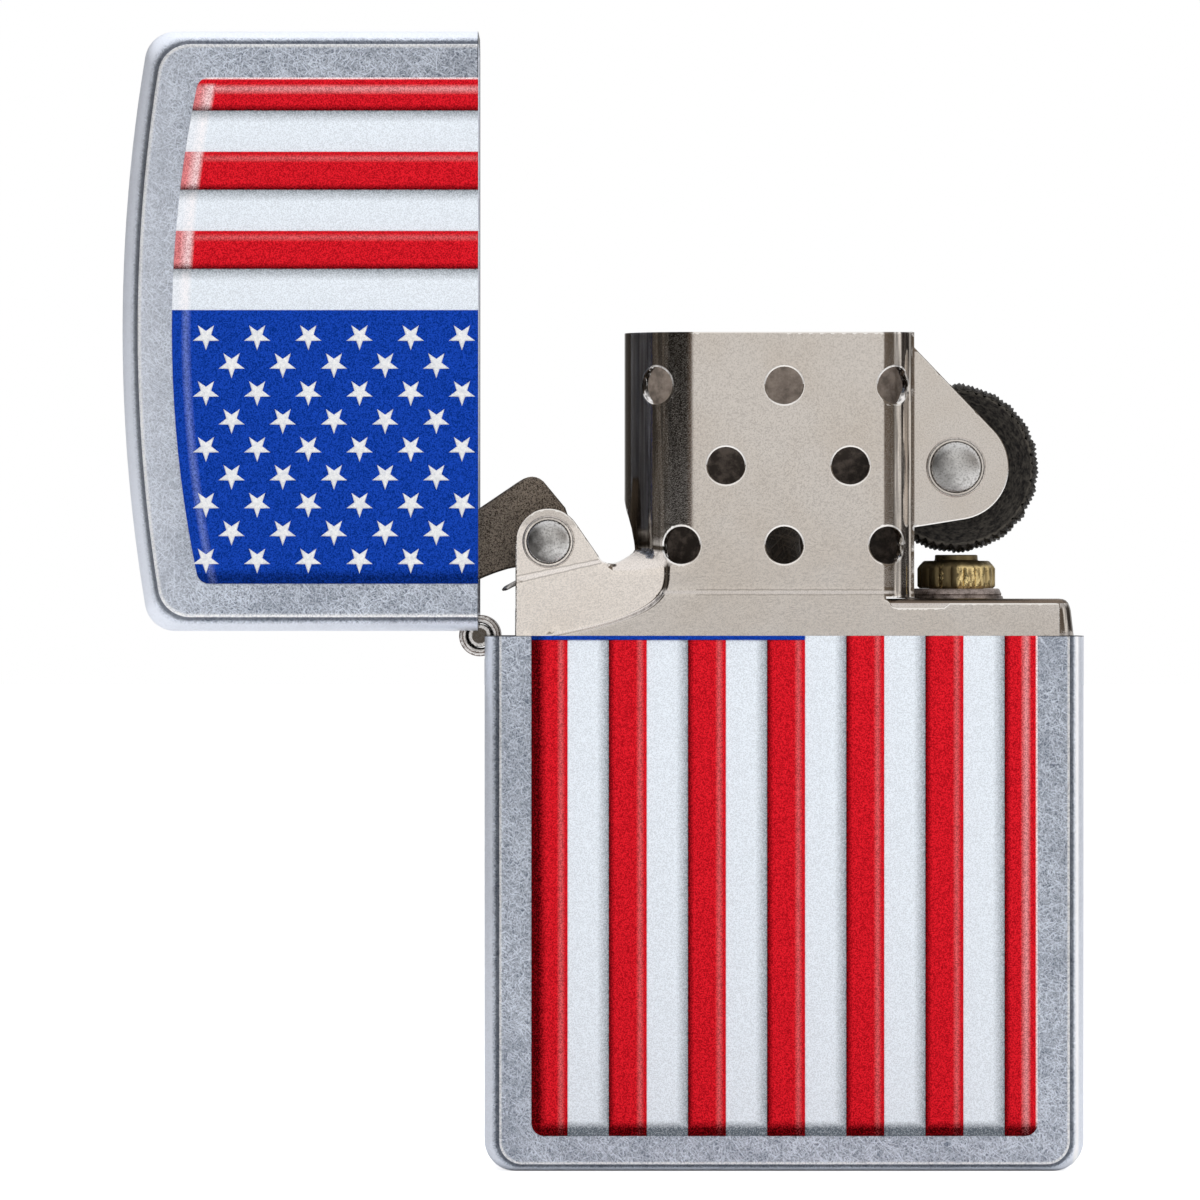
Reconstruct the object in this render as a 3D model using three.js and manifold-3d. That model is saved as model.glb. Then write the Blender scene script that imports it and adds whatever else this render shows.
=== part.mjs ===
// A flip-top windproof pocket lighter, lid open at a right angle, in millimetres.
// +X is towards the flint wheel, -Y towards the viewer of the printed side, +Z up.
// The origin is the middle of the case's base.
import * as THREE from "three";
import { mergeVertices } from "three/addons/utils/BufferGeometryUtils.js";
import Module from "manifold-3d";

const wasm = await Module();
wasm.setup();

// ---- driving dimensions ----
const WIDTH = 38.1; // case and lid, side to side
const DEPTH = 13; // case and lid, front to back
const CASE_HEIGHT = 34; // base to the parting plane
const LID_HEIGHT = 22.7; // parting plane to the top of the dome
const WALL = 0.6; // case and lid sheet
const CORNER_R = 1.95; // corners of the front outline
const DOME_R = 106; // the lid's shallow top arc
const PARTING_GAP = 0.08; // between the rims of case and lid when shut

const HALF_W = WIDTH / 2;
const HALF_D = DEPTH / 2;
const LID_TOP = CASE_HEIGHT + LID_HEIGHT;

const HINGE = { x: -HALF_W - 0.3, z: CASE_HEIGHT }; // axis of the lid's hinge, along Y
const PIN_R = 0.72;
const BARREL_BORE_R = 0.82;
const BARREL_R = 1.31;
const HINGE_CLEAR_R = 1.5; // room cut round the barrel
const HINGE_LENGTH = 10;
const KNUCKLES = 5;
const KNUCKLE_GAP = 0.1;
const LEAF = { inner: -HALF_W + WALL + 0.5, thickness: 0.43, length: 8.5 };

const SHEET = 0.5; // insert sheet
const TANK = { left: -17.1, right: 18.2, halfDepth: 5.65, bottom: 1.2, top: 36.4, cornerR: 1.4 };
const SHOULDER = { inset: 0.25, height: 0.6 }; // rounded top edge of the tank
const DECK = { top: 36.3, thickness: 0.5, halfDepth: 4.52, margin: 0.08, cornerR: 0.5 };
const DECK_OPENING = { left: TANK.left + 2 * SHEET, right: TANK.right - 2.2 * SHEET }; // in the tank's top
const CHIMNEY = { halfDepth: 5.4, frontLeft: -5.36, leftR: 4.78, frontRight: 6.19, rightR: 2.2, top: 53.3 };
const HOLE_R = 1.2;
const FRONT_HOLES = { 49.9: [-8.15, 0, 7.1], 44.8: [-3.7, 4.2], 39.75: [-6.5, 0, 6.6] };
const BACK_HOLES = { 49.9: [-3.7, 4.2], 44.8: [-7.4, 0, 6.8], 39.75: [-3.2, 3.8] };

const WHEEL = { x: 10.95, z: 44.72, r: 5.5, toothDepth: 0.35, teeth: 44, halfWidth: 2.3, boreR: 1.05 };
const WHEEL_EAR = { face: 4.1, noseR: 3.35, top: 52.34, bottom: 40.9 };
const SPRING = { thickness: 0.3, halfWidth: 1.5, footX: -11.6, plateau: 38.15, rivetX: -8.2, tipZ: 37.1 };
const WHEEL_SLOT = { right: 12, halfWidth: WHEEL.halfWidth + 0.35 }; // cut in the chimney's right wall
const CAM = { x: -14.97, z: 39.97, hubR: 1.72, halfWidth: 1.5, boreR: 1.05 };
const CAM_EAR = { face: 5.1, r: 2.1 };
const CAM_NOTCH = { x: -11.05, z: 39.45, r: 0.85 }; // round-bottomed notch beside the ear
const CAM_EAR_FOOT = { x: -11.9, z: 39.1 }; // where the ear's slope meets the notch
const SHAFT_R = 0.95;
const RIVET_HEAD = { r: 1.6, height: 0.5 };

const FLINT = { x: 11.1, r: 1.15, bottom: 33.6, top: 39.1 };
const TUBE = { r: 1.75, boreR: 1.3, bottom: 2.6 };
const COLLAR = { r: 2.5, fluteDepth: 0.22, flutes: 22, bottom: 37, top: 38.85 };
const WASHER_R = 3.05;
const PLUNGER = { head: 2, length: 4, stemR: 0.6 };
const FLINT_SPRING = { wireR: 0.17, coilR: 0.95, turns: 14 };
const SCREW = { headR: 2.6, headTop: 2.35, tip: 6.2, shankR: 1.15 };
const PRINT = { halfWidth: 16.05, bottom: 2.28, relief: 0.1, film: 0.06, gap: 0.04, cornerR: 0.8 };
const LID_PRINT = { belowTop: 3.2, domeR: 76 };
const STRIPES = 13;

// ---- shapes and solids ----

// A closed geometry as a solid that can be joined and cut.
function solid(geometry) {
  const bare = geometry.clone();
  bare.deleteAttribute("normal");
  bare.deleteAttribute("uv");
  const merged = mergeVertices(bare, 1e-4);
  const vertProperties = merged.attributes.position.array;
  const triVerts = new Uint32Array(merged.index.array);
  return new wasm.Manifold(new wasm.Mesh({ numProp: 3, vertProperties, triVerts }));
}

function union(...solids) {
  return solids.reduce((joined, next) => joined.add(next));
}

function cut(body, ...tools) {
  return tools.reduce((left, tool) => left.subtract(tool), body);
}

// A solid back as a geometry.
function geometryOf(body) {
  const mesh = body.getMesh();
  const geometry = new THREE.BufferGeometry();
  geometry.setAttribute("position", new THREE.BufferAttribute(mesh.vertProperties, 3));
  geometry.setIndex(new THREE.BufferAttribute(mesh.triVerts, 1));
  geometry.computeVertexNormals();
  return geometry;
}

// An XZ outline given thickness between two Y planes; edge rounds both faces' rims.
function plate(outline, front, back, edge = null, curveSegments = 4) {
  const thickness = edge ? edge.thickness : 0;
  const geometry = new THREE.ExtrudeGeometry(outline, {
    depth: back - front - 2 * thickness,
    curveSegments,
    bevelEnabled: Boolean(edge),
    bevelThickness: thickness,
    bevelSize: edge ? edge.inset : 0,
    bevelOffset: edge ? -edge.inset : 0,
    bevelSegments: 3,
  });
  geometry.rotateX(Math.PI / 2);
  geometry.translate(0, back - thickness, 0);
  return geometry;
}

// An XY outline given height between two Z planes.
function post(outline, bottom, top, edge = null, curveSegments = 4) {
  const thickness = edge ? edge.thickness : 0;
  const geometry = new THREE.ExtrudeGeometry(outline, {
    depth: top - bottom - 2 * thickness,
    curveSegments,
    bevelEnabled: Boolean(edge),
    bevelThickness: thickness,
    bevelSize: edge ? edge.inset : 0,
    bevelOffset: edge ? -edge.inset : 0,
    bevelSegments: 3,
  });
  geometry.translate(0, 0, bottom + thickness);
  return geometry;
}

// A round bar along Y.
function barAlongY(x, z, radius, front, back, segments = 24) {
  const geometry = new THREE.CylinderGeometry(radius, radius, back - front, segments);
  geometry.translate(x, (front + back) / 2, z);
  return geometry;
}

// A round bar along Z.
function barAlongZ(x, y, radius, bottom, top, segments = 24) {
  const geometry = new THREE.CylinderGeometry(radius, radius, top - bottom, segments);
  geometry.rotateX(Math.PI / 2);
  geometry.translate(x, y, (bottom + top) / 2);
  return geometry;
}

// A profile of (radius, height) points turned about a Z axis.
function turned(points, x, y = 0, segments = 20) {
  const profile = points.map(([radius, height]) => new THREE.Vector2(radius, height));
  const geometry = new THREE.LatheGeometry(profile, segments);
  geometry.rotateX(Math.PI / 2);
  geometry.translate(x, y, 0);
  return geometry;
}

function block(low, high) {
  const size = high.map((value, i) => value - low[i]);
  const middle = high.map((value, i) => (value + low[i]) / 2);
  return new THREE.BoxGeometry(...size).translate(...middle);
}

function roundedRectangle(left, bottom, right, top, radius) {
  const shape = new THREE.Shape();
  shape.moveTo(left + radius, bottom);
  shape.absarc(right - radius, bottom + radius, radius, -Math.PI / 2, 0);
  shape.absarc(right - radius, top - radius, radius, 0, Math.PI / 2);
  shape.absarc(left + radius, top - radius, radius, Math.PI / 2, Math.PI);
  shape.absarc(left + radius, bottom + radius, radius, Math.PI, 1.5 * Math.PI);
  return shape;
}

// A wheel outline with straight-sided teeth.
function toothedOutline(x, y, outer, inner, teeth) {
  const points = [];
  for (let i = 0; i < 2 * teeth; i++) {
    const radius = i % 2 ? inner : outer;
    const angle = (Math.PI * i) / teeth;
    points.push(new THREE.Vector2(x + radius * Math.cos(angle), y + radius * Math.sin(angle)));
  }
  return new THREE.Shape(points);
}

// The angle at which a tangent from a point touches a circle; side picks one of the two.
function tangentAngle(point, centre, radius, side) {
  const dx = point.x - centre.x;
  const dz = point.z - centre.z;
  return Math.atan2(dz, dx) + side * Math.acos(radius / Math.hypot(dx, dz));
}

// ---- materials ----
const metal = (color, roughness) => new THREE.MeshStandardMaterial({ color, roughness, metalness: 1 });
const dull = (color, roughness) => new THREE.MeshStandardMaterial({ color, roughness, metalness: 0 });
const chrome = metal(0xb9bec4, 0.35);
const nickel = metal(0xc2b8ae, 0.3);
const camSteel = metal(0x5a5048, 0.5);
const wheelSteel = metal(0x2b2926, 0.6);
const brass = metal(0xb08a3c, 0.35);
const springSteel = metal(0x8d8f92, 0.35);
const flintGrey = dull(0x55504a, 0.8);
const printRed = dull(0xc81e28, 0.5);
const printBlue = dull(0x1f4696, 0.5);
const cotton = dull(0xe8e2d4, 0.95);
const felt = dull(0xd9d4c8, 0.95);

function part(name, body, material) {
  const geometry = body.isBufferGeometry ? body : geometryOf(body);
  const mesh = new THREE.Mesh(geometry, material);
  mesh.name = name;
  return mesh;
}

// ---- case and lid shells ----
const FACE_EDGE = { thickness: 1.6, inset: 1 };
const CAVITY_EDGE = { thickness: 1.4, inset: 0.8 };
const CUT_REACH = 3; // how far an outline runs past a plane that cuts it

function caseOutline(inset) {
  const w = HALF_W - inset;
  const r = CORNER_R - inset;
  return roundedRectangle(-w, inset, w, CASE_HEIGHT + CUT_REACH, r);
}

// A flat-sided outline with a shallow domed top and rounded shoulders.
function domedOutline(halfWidth, bottom, apex, domeR, cornerR) {
  const domeZ = apex - domeR;
  const cornerX = halfWidth - cornerR;
  const cornerZ = domeZ + Math.sqrt((domeR - cornerR) ** 2 - cornerX ** 2);
  const tilt = Math.atan2(cornerX, cornerZ - domeZ);
  const shape = new THREE.Shape();
  shape.moveTo(-halfWidth, bottom);
  shape.lineTo(halfWidth, bottom);
  shape.absarc(cornerX, cornerZ, cornerR, 0, Math.PI / 2 - tilt);
  shape.absarc(0, domeZ, domeR, Math.PI / 2 - tilt, Math.PI / 2 + tilt);
  shape.absarc(-cornerX, cornerZ, cornerR, Math.PI / 2 + tilt, Math.PI);
  return shape;
}

function lidOutline(inset) {
  const bottom = CASE_HEIGHT - CUT_REACH;
  return domedOutline(HALF_W - inset, bottom, LID_TOP - inset, DOME_R - inset, CORNER_R - inset);
}

const FAR = 80; // half the size of a cutting block, past everything it cuts
const above = (z) => solid(block([-FAR, -FAR, z], [FAR, FAR, z + FAR]));
const below = (z) => solid(block([-FAR, -FAR, z - FAR], [FAR, FAR, z]));

function hingeRoom(front = -HINGE_LENGTH / 2 - 0.2, back = HINGE_LENGTH / 2 + 0.2) {
  return solid(barAlongY(HINGE.x, HINGE.z, HINGE_CLEAR_R, front, back));
}

function shell(outlineAt) {
  const outer = solid(plate(outlineAt(0), -HALF_D, HALF_D, FACE_EDGE));
  const inner = solid(plate(outlineAt(WALL), -HALF_D + WALL, HALF_D - WALL, CAVITY_EDGE));
  return cut(outer, inner, hingeRoom());
}

const caseShell = () => cut(shell(caseOutline), above(CASE_HEIGHT));
const lidShell = () => cut(shell(lidOutline), below(CASE_HEIGHT + PARTING_GAP));

// ---- hinge ----
const KNUCKLE_PITCH = HINGE_LENGTH / KNUCKLES;

// The Y span of one knuckle, less half a gap at each end.
function knuckleSpan(index) {
  const front = -HINGE_LENGTH / 2 + index * KNUCKLE_PITCH;
  return [front + KNUCKLE_GAP / 2, front + KNUCKLE_PITCH - KNUCKLE_GAP / 2];
}

// A leaf lying on the inside of the wall, up (+1) or down (-1) from the axis, with its knuckles.
function hingeLeaf(direction, firstKnuckle) {
  const ends = [HINGE.z + direction * 0.02, HINGE.z + direction * LEAF.length].sort((a, b) => a - b);
  const half = HINGE_LENGTH / 2;
  const low = [LEAF.inner - LEAF.thickness, -half, ends[0]];
  const high = [LEAF.inner, half, ends[1]];
  let leaf = solid(block(low, high));
  for (let i = 0; i < KNUCKLES; i++) {
    const [front, back] = knuckleSpan(i);
    if (i % 2 === firstKnuckle) {
      leaf = union(leaf, solid(barAlongY(HINGE.x, HINGE.z, BARREL_R, front, back)));
    } else {
      leaf = cut(leaf, hingeRoom(front - KNUCKLE_GAP, back + KNUCKLE_GAP));
    }
  }
  return cut(leaf, solid(barAlongY(HINGE.x, HINGE.z, BARREL_BORE_R, -half - 1, half + 1)));
}

// ---- raised prints: a thin film with every other stripe standing proud ----
const STRIPE_PITCH = (2 * PRINT.halfWidth) / STRIPES;

function print(film, low, high, stripeIndices) {
  const back = -HALF_D - PRINT.gap;
  const front = back - PRINT.film;
  const stripes = stripeIndices.map((index) => {
    const left = -PRINT.halfWidth + index * STRIPE_PITCH;
    return solid(block([left, front - PRINT.relief, low], [left + STRIPE_PITCH, back, high]));
  });
  const base = solid(plate(film, front, back));
  const raised = solid(plate(film, front - PRINT.relief, back));
  return union(base, union(...stripes).intersect(raised));
}

const evenStripes = Array.from({ length: 7 }, (_, i) => 2 * i);

function casePrint() {
  const reach = CASE_HEIGHT + CUT_REACH;
  const film = roundedRectangle(-PRINT.halfWidth, PRINT.bottom, PRINT.halfWidth, reach, PRINT.cornerR);
  return cut(print(film, 0, reach, evenStripes), above(CASE_HEIGHT));
}

function lidPrint() {
  const bottom = CASE_HEIGHT - CUT_REACH;
  const apex = LID_TOP - LID_PRINT.belowTop;
  const film = domedOutline(PRINT.halfWidth, bottom, apex, LID_PRINT.domeR, PRINT.cornerR);
  const stripesRightOfField = evenStripes.filter((index) => index >= 7);
  const printed = print(film, bottom, LID_TOP, stripesRightOfField);
  return cut(printed, below(CASE_HEIGHT + PARTING_GAP));
}

// ---- insert: tank, chimney and ears ----
function chimneyOutline(inset) {
  const { halfDepth, frontLeft, leftR, frontRight, rightR } = CHIMNEY;
  const leftY = halfDepth - leftR;
  const rightY = halfDepth - rightR;
  const shape = new THREE.Shape();
  shape.moveTo(frontLeft, inset - halfDepth);
  shape.absarc(frontRight, -rightY, rightR - inset, -Math.PI / 2, 0);
  shape.absarc(frontRight, rightY, rightR - inset, 0, Math.PI / 2);
  shape.absarc(frontLeft, leftY, leftR - inset, Math.PI / 2, Math.PI);
  shape.absarc(frontLeft, -leftY, leftR - inset, Math.PI, 1.5 * Math.PI);
  return shape;
}

function tankOutline(inset) {
  const { left, right, halfDepth, cornerR } = TANK;
  const d = halfDepth - inset;
  return roundedRectangle(left + inset, -d, right - inset, d, cornerR - inset);
}

function camEarOutline() {
  const touch = tangentAngle(CAM_EAR_FOOT, CAM, CAM_EAR.r, 1);
  const { x, z, r } = CAM_NOTCH;
  const shape = new THREE.Shape();
  shape.moveTo(CHIMNEY.frontLeft, TANK.top - SHEET);
  shape.lineTo(CHIMNEY.frontLeft, z + 1.8 * r);
  shape.lineTo(x + 3 * r, z + 1.1 * r);
  shape.absarc(x, z, r, 0, -0.87 * Math.PI, true);
  shape.absarc(CAM.x, CAM.z, CAM_EAR.r, touch, Math.PI);
  shape.lineTo(CAM.x - CAM_EAR.r, TANK.top - SHEET);
  return shape;
}

function wheelEarOutline() {
  const rootX = CHIMNEY.frontRight + CHIMNEY.rightR;
  const upper = tangentAngle({ x: rootX, z: WHEEL_EAR.top }, WHEEL, WHEEL_EAR.noseR, -1);
  const lower = tangentAngle({ x: rootX, z: WHEEL_EAR.bottom }, WHEEL, WHEEL_EAR.noseR, 1);
  const shape = new THREE.Shape();
  shape.moveTo(rootX - SHEET, WHEEL_EAR.bottom);
  shape.lineTo(rootX, WHEEL_EAR.bottom);
  shape.absarc(WHEEL.x, WHEEL.z, WHEEL_EAR.noseR, lower, upper);
  shape.lineTo(rootX, WHEEL_EAR.top);
  shape.lineTo(rootX - SHEET, WHEEL_EAR.top);
  return shape;
}

// A sheet plate at the front (-1) or back (+1) whose outer face is at the given depth.
function sheetPlate(outline, face, side) {
  return side < 0 ? solid(plate(outline, -face, -face + SHEET)) : solid(plate(outline, face - SHEET, face));
}

// How far the chimney wall has turned away from the front at a given x, in radians.
function wallTurn(x) {
  if (x < CHIMNEY.frontLeft) return Math.asin((x - CHIMNEY.frontLeft) / CHIMNEY.leftR);
  if (x > CHIMNEY.frontRight) return Math.asin((x - CHIMNEY.frontRight) / CHIMNEY.rightR);
  return 0;
}

// A short drill square to the chimney wall at x.
function holeDrill(x, z, side) {
  const turn = wallTurn(x);
  const bend = x < CHIMNEY.frontLeft ? CHIMNEY.leftR : CHIMNEY.rightR;
  const depth = CHIMNEY.halfDepth - bend * (1 - Math.cos(turn));
  const drill = new THREE.CylinderGeometry(HOLE_R, HOLE_R, 3, 14);
  drill.rotateZ(-turn * side);
  drill.translate(x, side * depth, z);
  return solid(drill);
}

function holeDrills(rows, side) {
  return Object.entries(rows).flatMap(([z, xs]) => xs.map((x) => holeDrill(x, Number(z), side)));
}

function insertShell() {
  const rim = { thickness: SHOULDER.height, inset: SHOULDER.inset };
  const tankBottom = TANK.bottom - CUT_REACH;
  const tank = solid(post(tankOutline(0), tankBottom, TANK.top, rim));
  const tankRoom = solid(post(tankOutline(SHEET), tankBottom - 1, TANK.top - SHEET, rim));
  const half = DECK.halfDepth + DECK.margin;
  const under = DECK.top - CUT_REACH;
  const deckOpening = (top) => {
    return solid(block([DECK_OPENING.left, -half, under], [DECK_OPENING.right, half, top]));
  };
  const chimney = solid(post(chimneyOutline(0), TANK.top - SHEET, CHIMNEY.top));
  const chimneyRoom = solid(post(chimneyOutline(SHEET), under, CHIMNEY.top + 1));
  const slotHalf = WHEEL_SLOT.halfWidth;
  const slotLow = [CHIMNEY.frontRight, -slotHalf, under];
  const wheelSlot = solid(block(slotLow, [WHEEL_SLOT.right, slotHalf, CHIMNEY.top + 1]));
  const springHalf = SPRING.halfWidth + 0.2;
  const springLow = [SPRING.footX - 0.4, -springHalf, DECK.top - 0.1];
  const springSlot = solid(block(springLow, [SPRING.rivetX, springHalf, DECK.top + 2 * SPRING.thickness]));
  const bores = [WHEEL, CAM].map(({ x, z }) => solid(barAlongY(x, z, SHAFT_R + 0.05, -HALF_D, HALF_D)));
  const ears = [-1, 1].flatMap((side) => [
    sheetPlate(camEarOutline(), CAM_EAR.face, side),
    sheetPlate(wheelEarOutline(), WHEEL_EAR.face, side),
  ]);
  const tankSheet = cut(tank, tankRoom, deckOpening(TANK.top + 1), below(TANK.bottom));
  const chimneyFoot = deckOpening(DECK.top + 0.1);
  const chimneySheet = cut(chimney, chimneyRoom, chimneyFoot, wheelSlot, springSlot);
  const holes = [...holeDrills(FRONT_HOLES, -1), ...holeDrills(BACK_HOLES, 1)];
  return cut(union(tankSheet, chimneySheet, ...ears), ...holes, ...bores);
}

function insertDeck() {
  const { top, thickness, halfDepth, margin, cornerR } = DECK;
  const left = DECK_OPENING.left + margin;
  const right = DECK_OPENING.right - margin;
  const outline = roundedRectangle(left, -halfDepth, right, halfDepth, cornerR);
  const deck = solid(post(outline, top - thickness, top));
  const wickHole = solid(barAlongZ(0, 0, WICK_R + 0.3, top - 1, top + 1));
  const tubeHole = solid(barAlongZ(FLINT.x, 0, TUBE.r + 0.1, top - 1, top + 1));
  return cut(deck, wickHole, tubeHole);
}

// A rivet across the two ears: a shaft with a low domed head on each outer face.
function rivet(axle, face) {
  const { r, height } = RIVET_HEAD;
  const seat = face + 0.02;
  const dome = [
    [0, seat + height],
    [0.6 * r, seat + 0.85 * height],
    [0.9 * r, seat + 0.45 * height],
    [r, seat],
    [SHAFT_R, seat],
  ];
  const mirrored = dome.map(([radius, y]) => [radius, -y]).reverse();
  const profile = [...dome, ...mirrored].reverse();
  const points = profile.map(([radius, y]) => new THREE.Vector2(radius, y));
  return new THREE.LatheGeometry(points, 24).translate(axle.x, 0, axle.z);
}

// ---- cam lever and its spring ----
function camOutline() {
  const at = (dx, dz) => [CAM.x + dx, CAM.z + dz];
  const shape = new THREE.Shape();
  shape.moveTo(...at(-6.55, -3.55));
  shape.quadraticCurveTo(...at(-4.6, -2.25), ...at(-2.6, -1.7));
  shape.lineTo(...at(-1, -1.4));
  shape.absarc(CAM.x, CAM.z, CAM.hubR, -0.7 * Math.PI, 0.1 * Math.PI);
  shape.lineTo(...at(1.05, 2.2));
  shape.lineTo(...at(-0.33, 3.87));
  shape.quadraticCurveTo(...at(-1.01, 4.5), ...at(-1.92, 3.87));
  shape.lineTo(...at(-4.4, 2.19));
  shape.quadraticCurveTo(...at(-5.9, 0.8), ...at(-7, -2.2));
  shape.quadraticCurveTo(...at(-7.3, -3.5), ...at(-6.55, -3.55));
  return shape;
}

function camLever() {
  const lever = solid(plate(camOutline(), -CAM.halfWidth, CAM.halfWidth));
  return cut(lever, solid(barAlongY(CAM.x, CAM.z, CAM.boreR, -CAM.halfWidth - 1, CAM.halfWidth + 1)));
}


// A leaf that lies on the deck, rises under the cam's hub and droops to a free tip.
function springOutline() {
  const { thickness, footX, plateau, rivetX, tipZ } = SPRING;
  const deck = DECK.top + 0.02;
  const end = rivetX + 1.4;
  const tipX = TANK.left - 0.6;
  const shape = new THREE.Shape();
  shape.moveTo(end, deck);
  shape.lineTo(end, deck + thickness);
  shape.lineTo(footX, deck + thickness);
  shape.lineTo(CAM.x + 0.9, plateau);
  shape.lineTo(CAM.x - 0.9, plateau);
  shape.lineTo(tipX, tipZ);
  shape.lineTo(tipX + 0.15, tipZ - thickness);
  shape.lineTo(CAM.x - 0.8, plateau - thickness);
  shape.lineTo(CAM.x + 0.8, plateau - thickness);
  shape.lineTo(footX - 0.1, deck);
  return shape;
}

const SPRING_RIVET = { r: 0.55, headR: 0.95, headHeight: 0.45 };

function camSpring() {
  const leaf = solid(plate(springOutline(), -SPRING.halfWidth, SPRING.halfWidth));
  const rivetHole = barAlongZ(SPRING.rivetX, 0, SPRING_RIVET.r + 0.1, DECK.top - 1, DECK.top + 1, 16);
  return cut(leaf, solid(rivetHole));
}

function camSpringRivet() {
  const { r, headR, headHeight } = SPRING_RIVET;
  const foot = DECK.top + 0.02;
  const seat = foot + SPRING.thickness + 0.02;
  const head = [
    [0, foot],
    [r, foot],
    [r, seat],
    [headR, seat],
    [0.8 * headR, seat + 0.8 * headHeight],
    [0, seat + headHeight],
  ];
  return turned(head, SPRING.rivetX, 0, 16);
}

// ---- spark wheel and flint ----
function flintWheel() {
  const { x, z, r, toothDepth, teeth, halfWidth, boreR } = WHEEL;
  const rim = toothedOutline(x, z, r, r - toothDepth, teeth);
  const toothed = solid(plate(rim, -halfWidth, halfWidth));
  return cut(toothed, solid(barAlongY(x, z, boreR, -halfWidth - 1, halfWidth + 1)));
}

function flintTube() {
  const stem = [
    [TUBE.boreR, TUBE.bottom],
    [TUBE.r, TUBE.bottom],
    [TUBE.r, COLLAR.bottom + 0.5],
    [TUBE.boreR, COLLAR.bottom + 0.5],
    [TUBE.boreR, TUBE.bottom],
  ];
  const { r, fluteDepth, flutes, bottom, top } = COLLAR;
  const fluted = solid(post(toothedOutline(FLINT.x, 0, r, r - fluteDepth, flutes), bottom, top));
  const bore = solid(barAlongZ(FLINT.x, 0, TUBE.boreR, bottom - 1, top + 1, 20));
  return union(solid(turned(stem, FLINT.x)), cut(fluted, bore));
}

function flintTubeWasher() {
  const bottom = DECK.top + 0.02;
  const top = COLLAR.bottom - 0.02;
  const ring = [
    [TUBE.r + 0.1, bottom],
    [WASHER_R, bottom],
    [WASHER_R, top - 0.1],
    [WASHER_R - 0.1, top],
    [TUBE.r + 0.1, top],
    [TUBE.r + 0.1, bottom],
  ];
  return turned(ring, FLINT.x, 0, 28);
}

const flint = () => barAlongZ(FLINT.x, 0, FLINT.r, FLINT.bottom, FLINT.top, 16);

function flintPlunger() {
  const top = FLINT.bottom - 0.02;
  const { head, length, stemR } = PLUNGER;
  const profile = [
    [0, top - length],
    [stemR, top - length],
    [stemR, top - head],
    [FLINT.r, top - head],
    [FLINT.r, top],
    [0, top],
  ];
  return turned(profile, FLINT.x, 0, 16);
}

class Helix extends THREE.Curve {
  constructor(centreX, radius, bottom, top, turns) {
    super();
    Object.assign(this, { centreX, radius, bottom, top, turns });
  }

  getPoint(t, target = new THREE.Vector3()) {
    const angle = 2 * Math.PI * this.turns * t;
    const x = this.centreX + this.radius * Math.cos(angle);
    const y = this.radius * Math.sin(angle);
    return target.set(x, y, this.bottom + (this.top - this.bottom) * t);
  }
}

function flintSpring() {
  const { wireR, coilR, turns } = FLINT_SPRING;
  const bottom = SCREW.tip + wireR + 0.03;
  const top = FLINT.bottom - PLUNGER.head - 0.05 - wireR;
  const section = new THREE.Shape().absarc(0, 0, wireR, 0, 2 * Math.PI);
  const extrudePath = new Helix(FLINT.x, coilR, bottom, top, turns);
  return new THREE.ExtrudeGeometry(section, { extrudePath, steps: turns * 8, curveSegments: 3 });
}

function flintScrew() {
  const bottom = TANK.bottom + 0.15;
  const profile = [
    [0, bottom],
    [SCREW.headR - 0.2, bottom],
    [SCREW.headR, bottom + 0.2],
    [SCREW.headR, SCREW.headTop],
    [SCREW.shankR, SCREW.headTop],
    [SCREW.shankR, SCREW.tip],
    [0, SCREW.tip],
  ];
  const { x } = FLINT;
  const screw = solid(turned(profile, x));
  const slotHalf = 0.35;
  const slotDepth = 0.6;
  const slot = block([x - 4, -slotHalf, bottom - 1], [x + 4, slotHalf, bottom + slotDepth]);
  return cut(screw, solid(slot));
}

// ---- wick and fuel packing ----
const WICK_R = 1.25;
const PACKING = { left: -16.3, right: 8, halfDepth: 4.6, height: 5, channel: 3.7 };
const PACKING_BOTTOMS = [25.2, 16, 6.8]; // top, middle, bottom pad
const FELT = { bottom: 1.5, top: 3.8 };

// The wick drops from the chimney and winds round the ends of the pads.
function wick() {
  const rightX = PACKING.right - WICK_R - 0.45;
  const leftX = PACKING.left + WICK_R + 0.45;
  const over = (index) => PACKING_BOTTOMS[index] + PACKING.height + 2.1; // middle of the gap
  const points = [
    [0, 46.5],
    [0, 41],
    [0, 36],
    [2.2, over(0) + 0.6],
    [rightX - 0.6, over(0) - 0.7],
    [rightX, PACKING_BOTTOMS[0] + 2.5],
    [rightX - 1.4, over(1) + 0.4],
    [4, over(1)],
    [-10, over(1)],
    [leftX + 0.6, over(1) - 0.6],
    [leftX, PACKING_BOTTOMS[1] + 2.5],
    [leftX + 1.4, over(2) + 0.4],
    [-10, over(2)],
    [3, over(2)],
  ].map(([x, z]) => new THREE.Vector3(x, 0, z));
  const extrudePath = new THREE.CatmullRomCurve3(points, false, "centripetal");
  const section = new THREE.Shape().absarc(0, 0, WICK_R, 0, 2 * Math.PI);
  return new THREE.ExtrudeGeometry(section, { extrudePath, steps: 52, curveSegments: 5 });
}

// One pad; the pads leave a channel for the wick at alternate ends.
function packingPad(index) {
  const bottom = PACKING_BOTTOMS[index];
  const channelOnLeft = index % 2 === 1;
  const left = PACKING.left + (channelOnLeft ? PACKING.channel : 0);
  const right = PACKING.right - (channelOnLeft ? 0 : PACKING.channel);
  const outline = roundedRectangle(left, bottom, right, bottom + PACKING.height, 2);
  return plate(outline, -PACKING.halfDepth, PACKING.halfDepth, { thickness: 1, inset: 1 }, 2);
}

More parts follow.
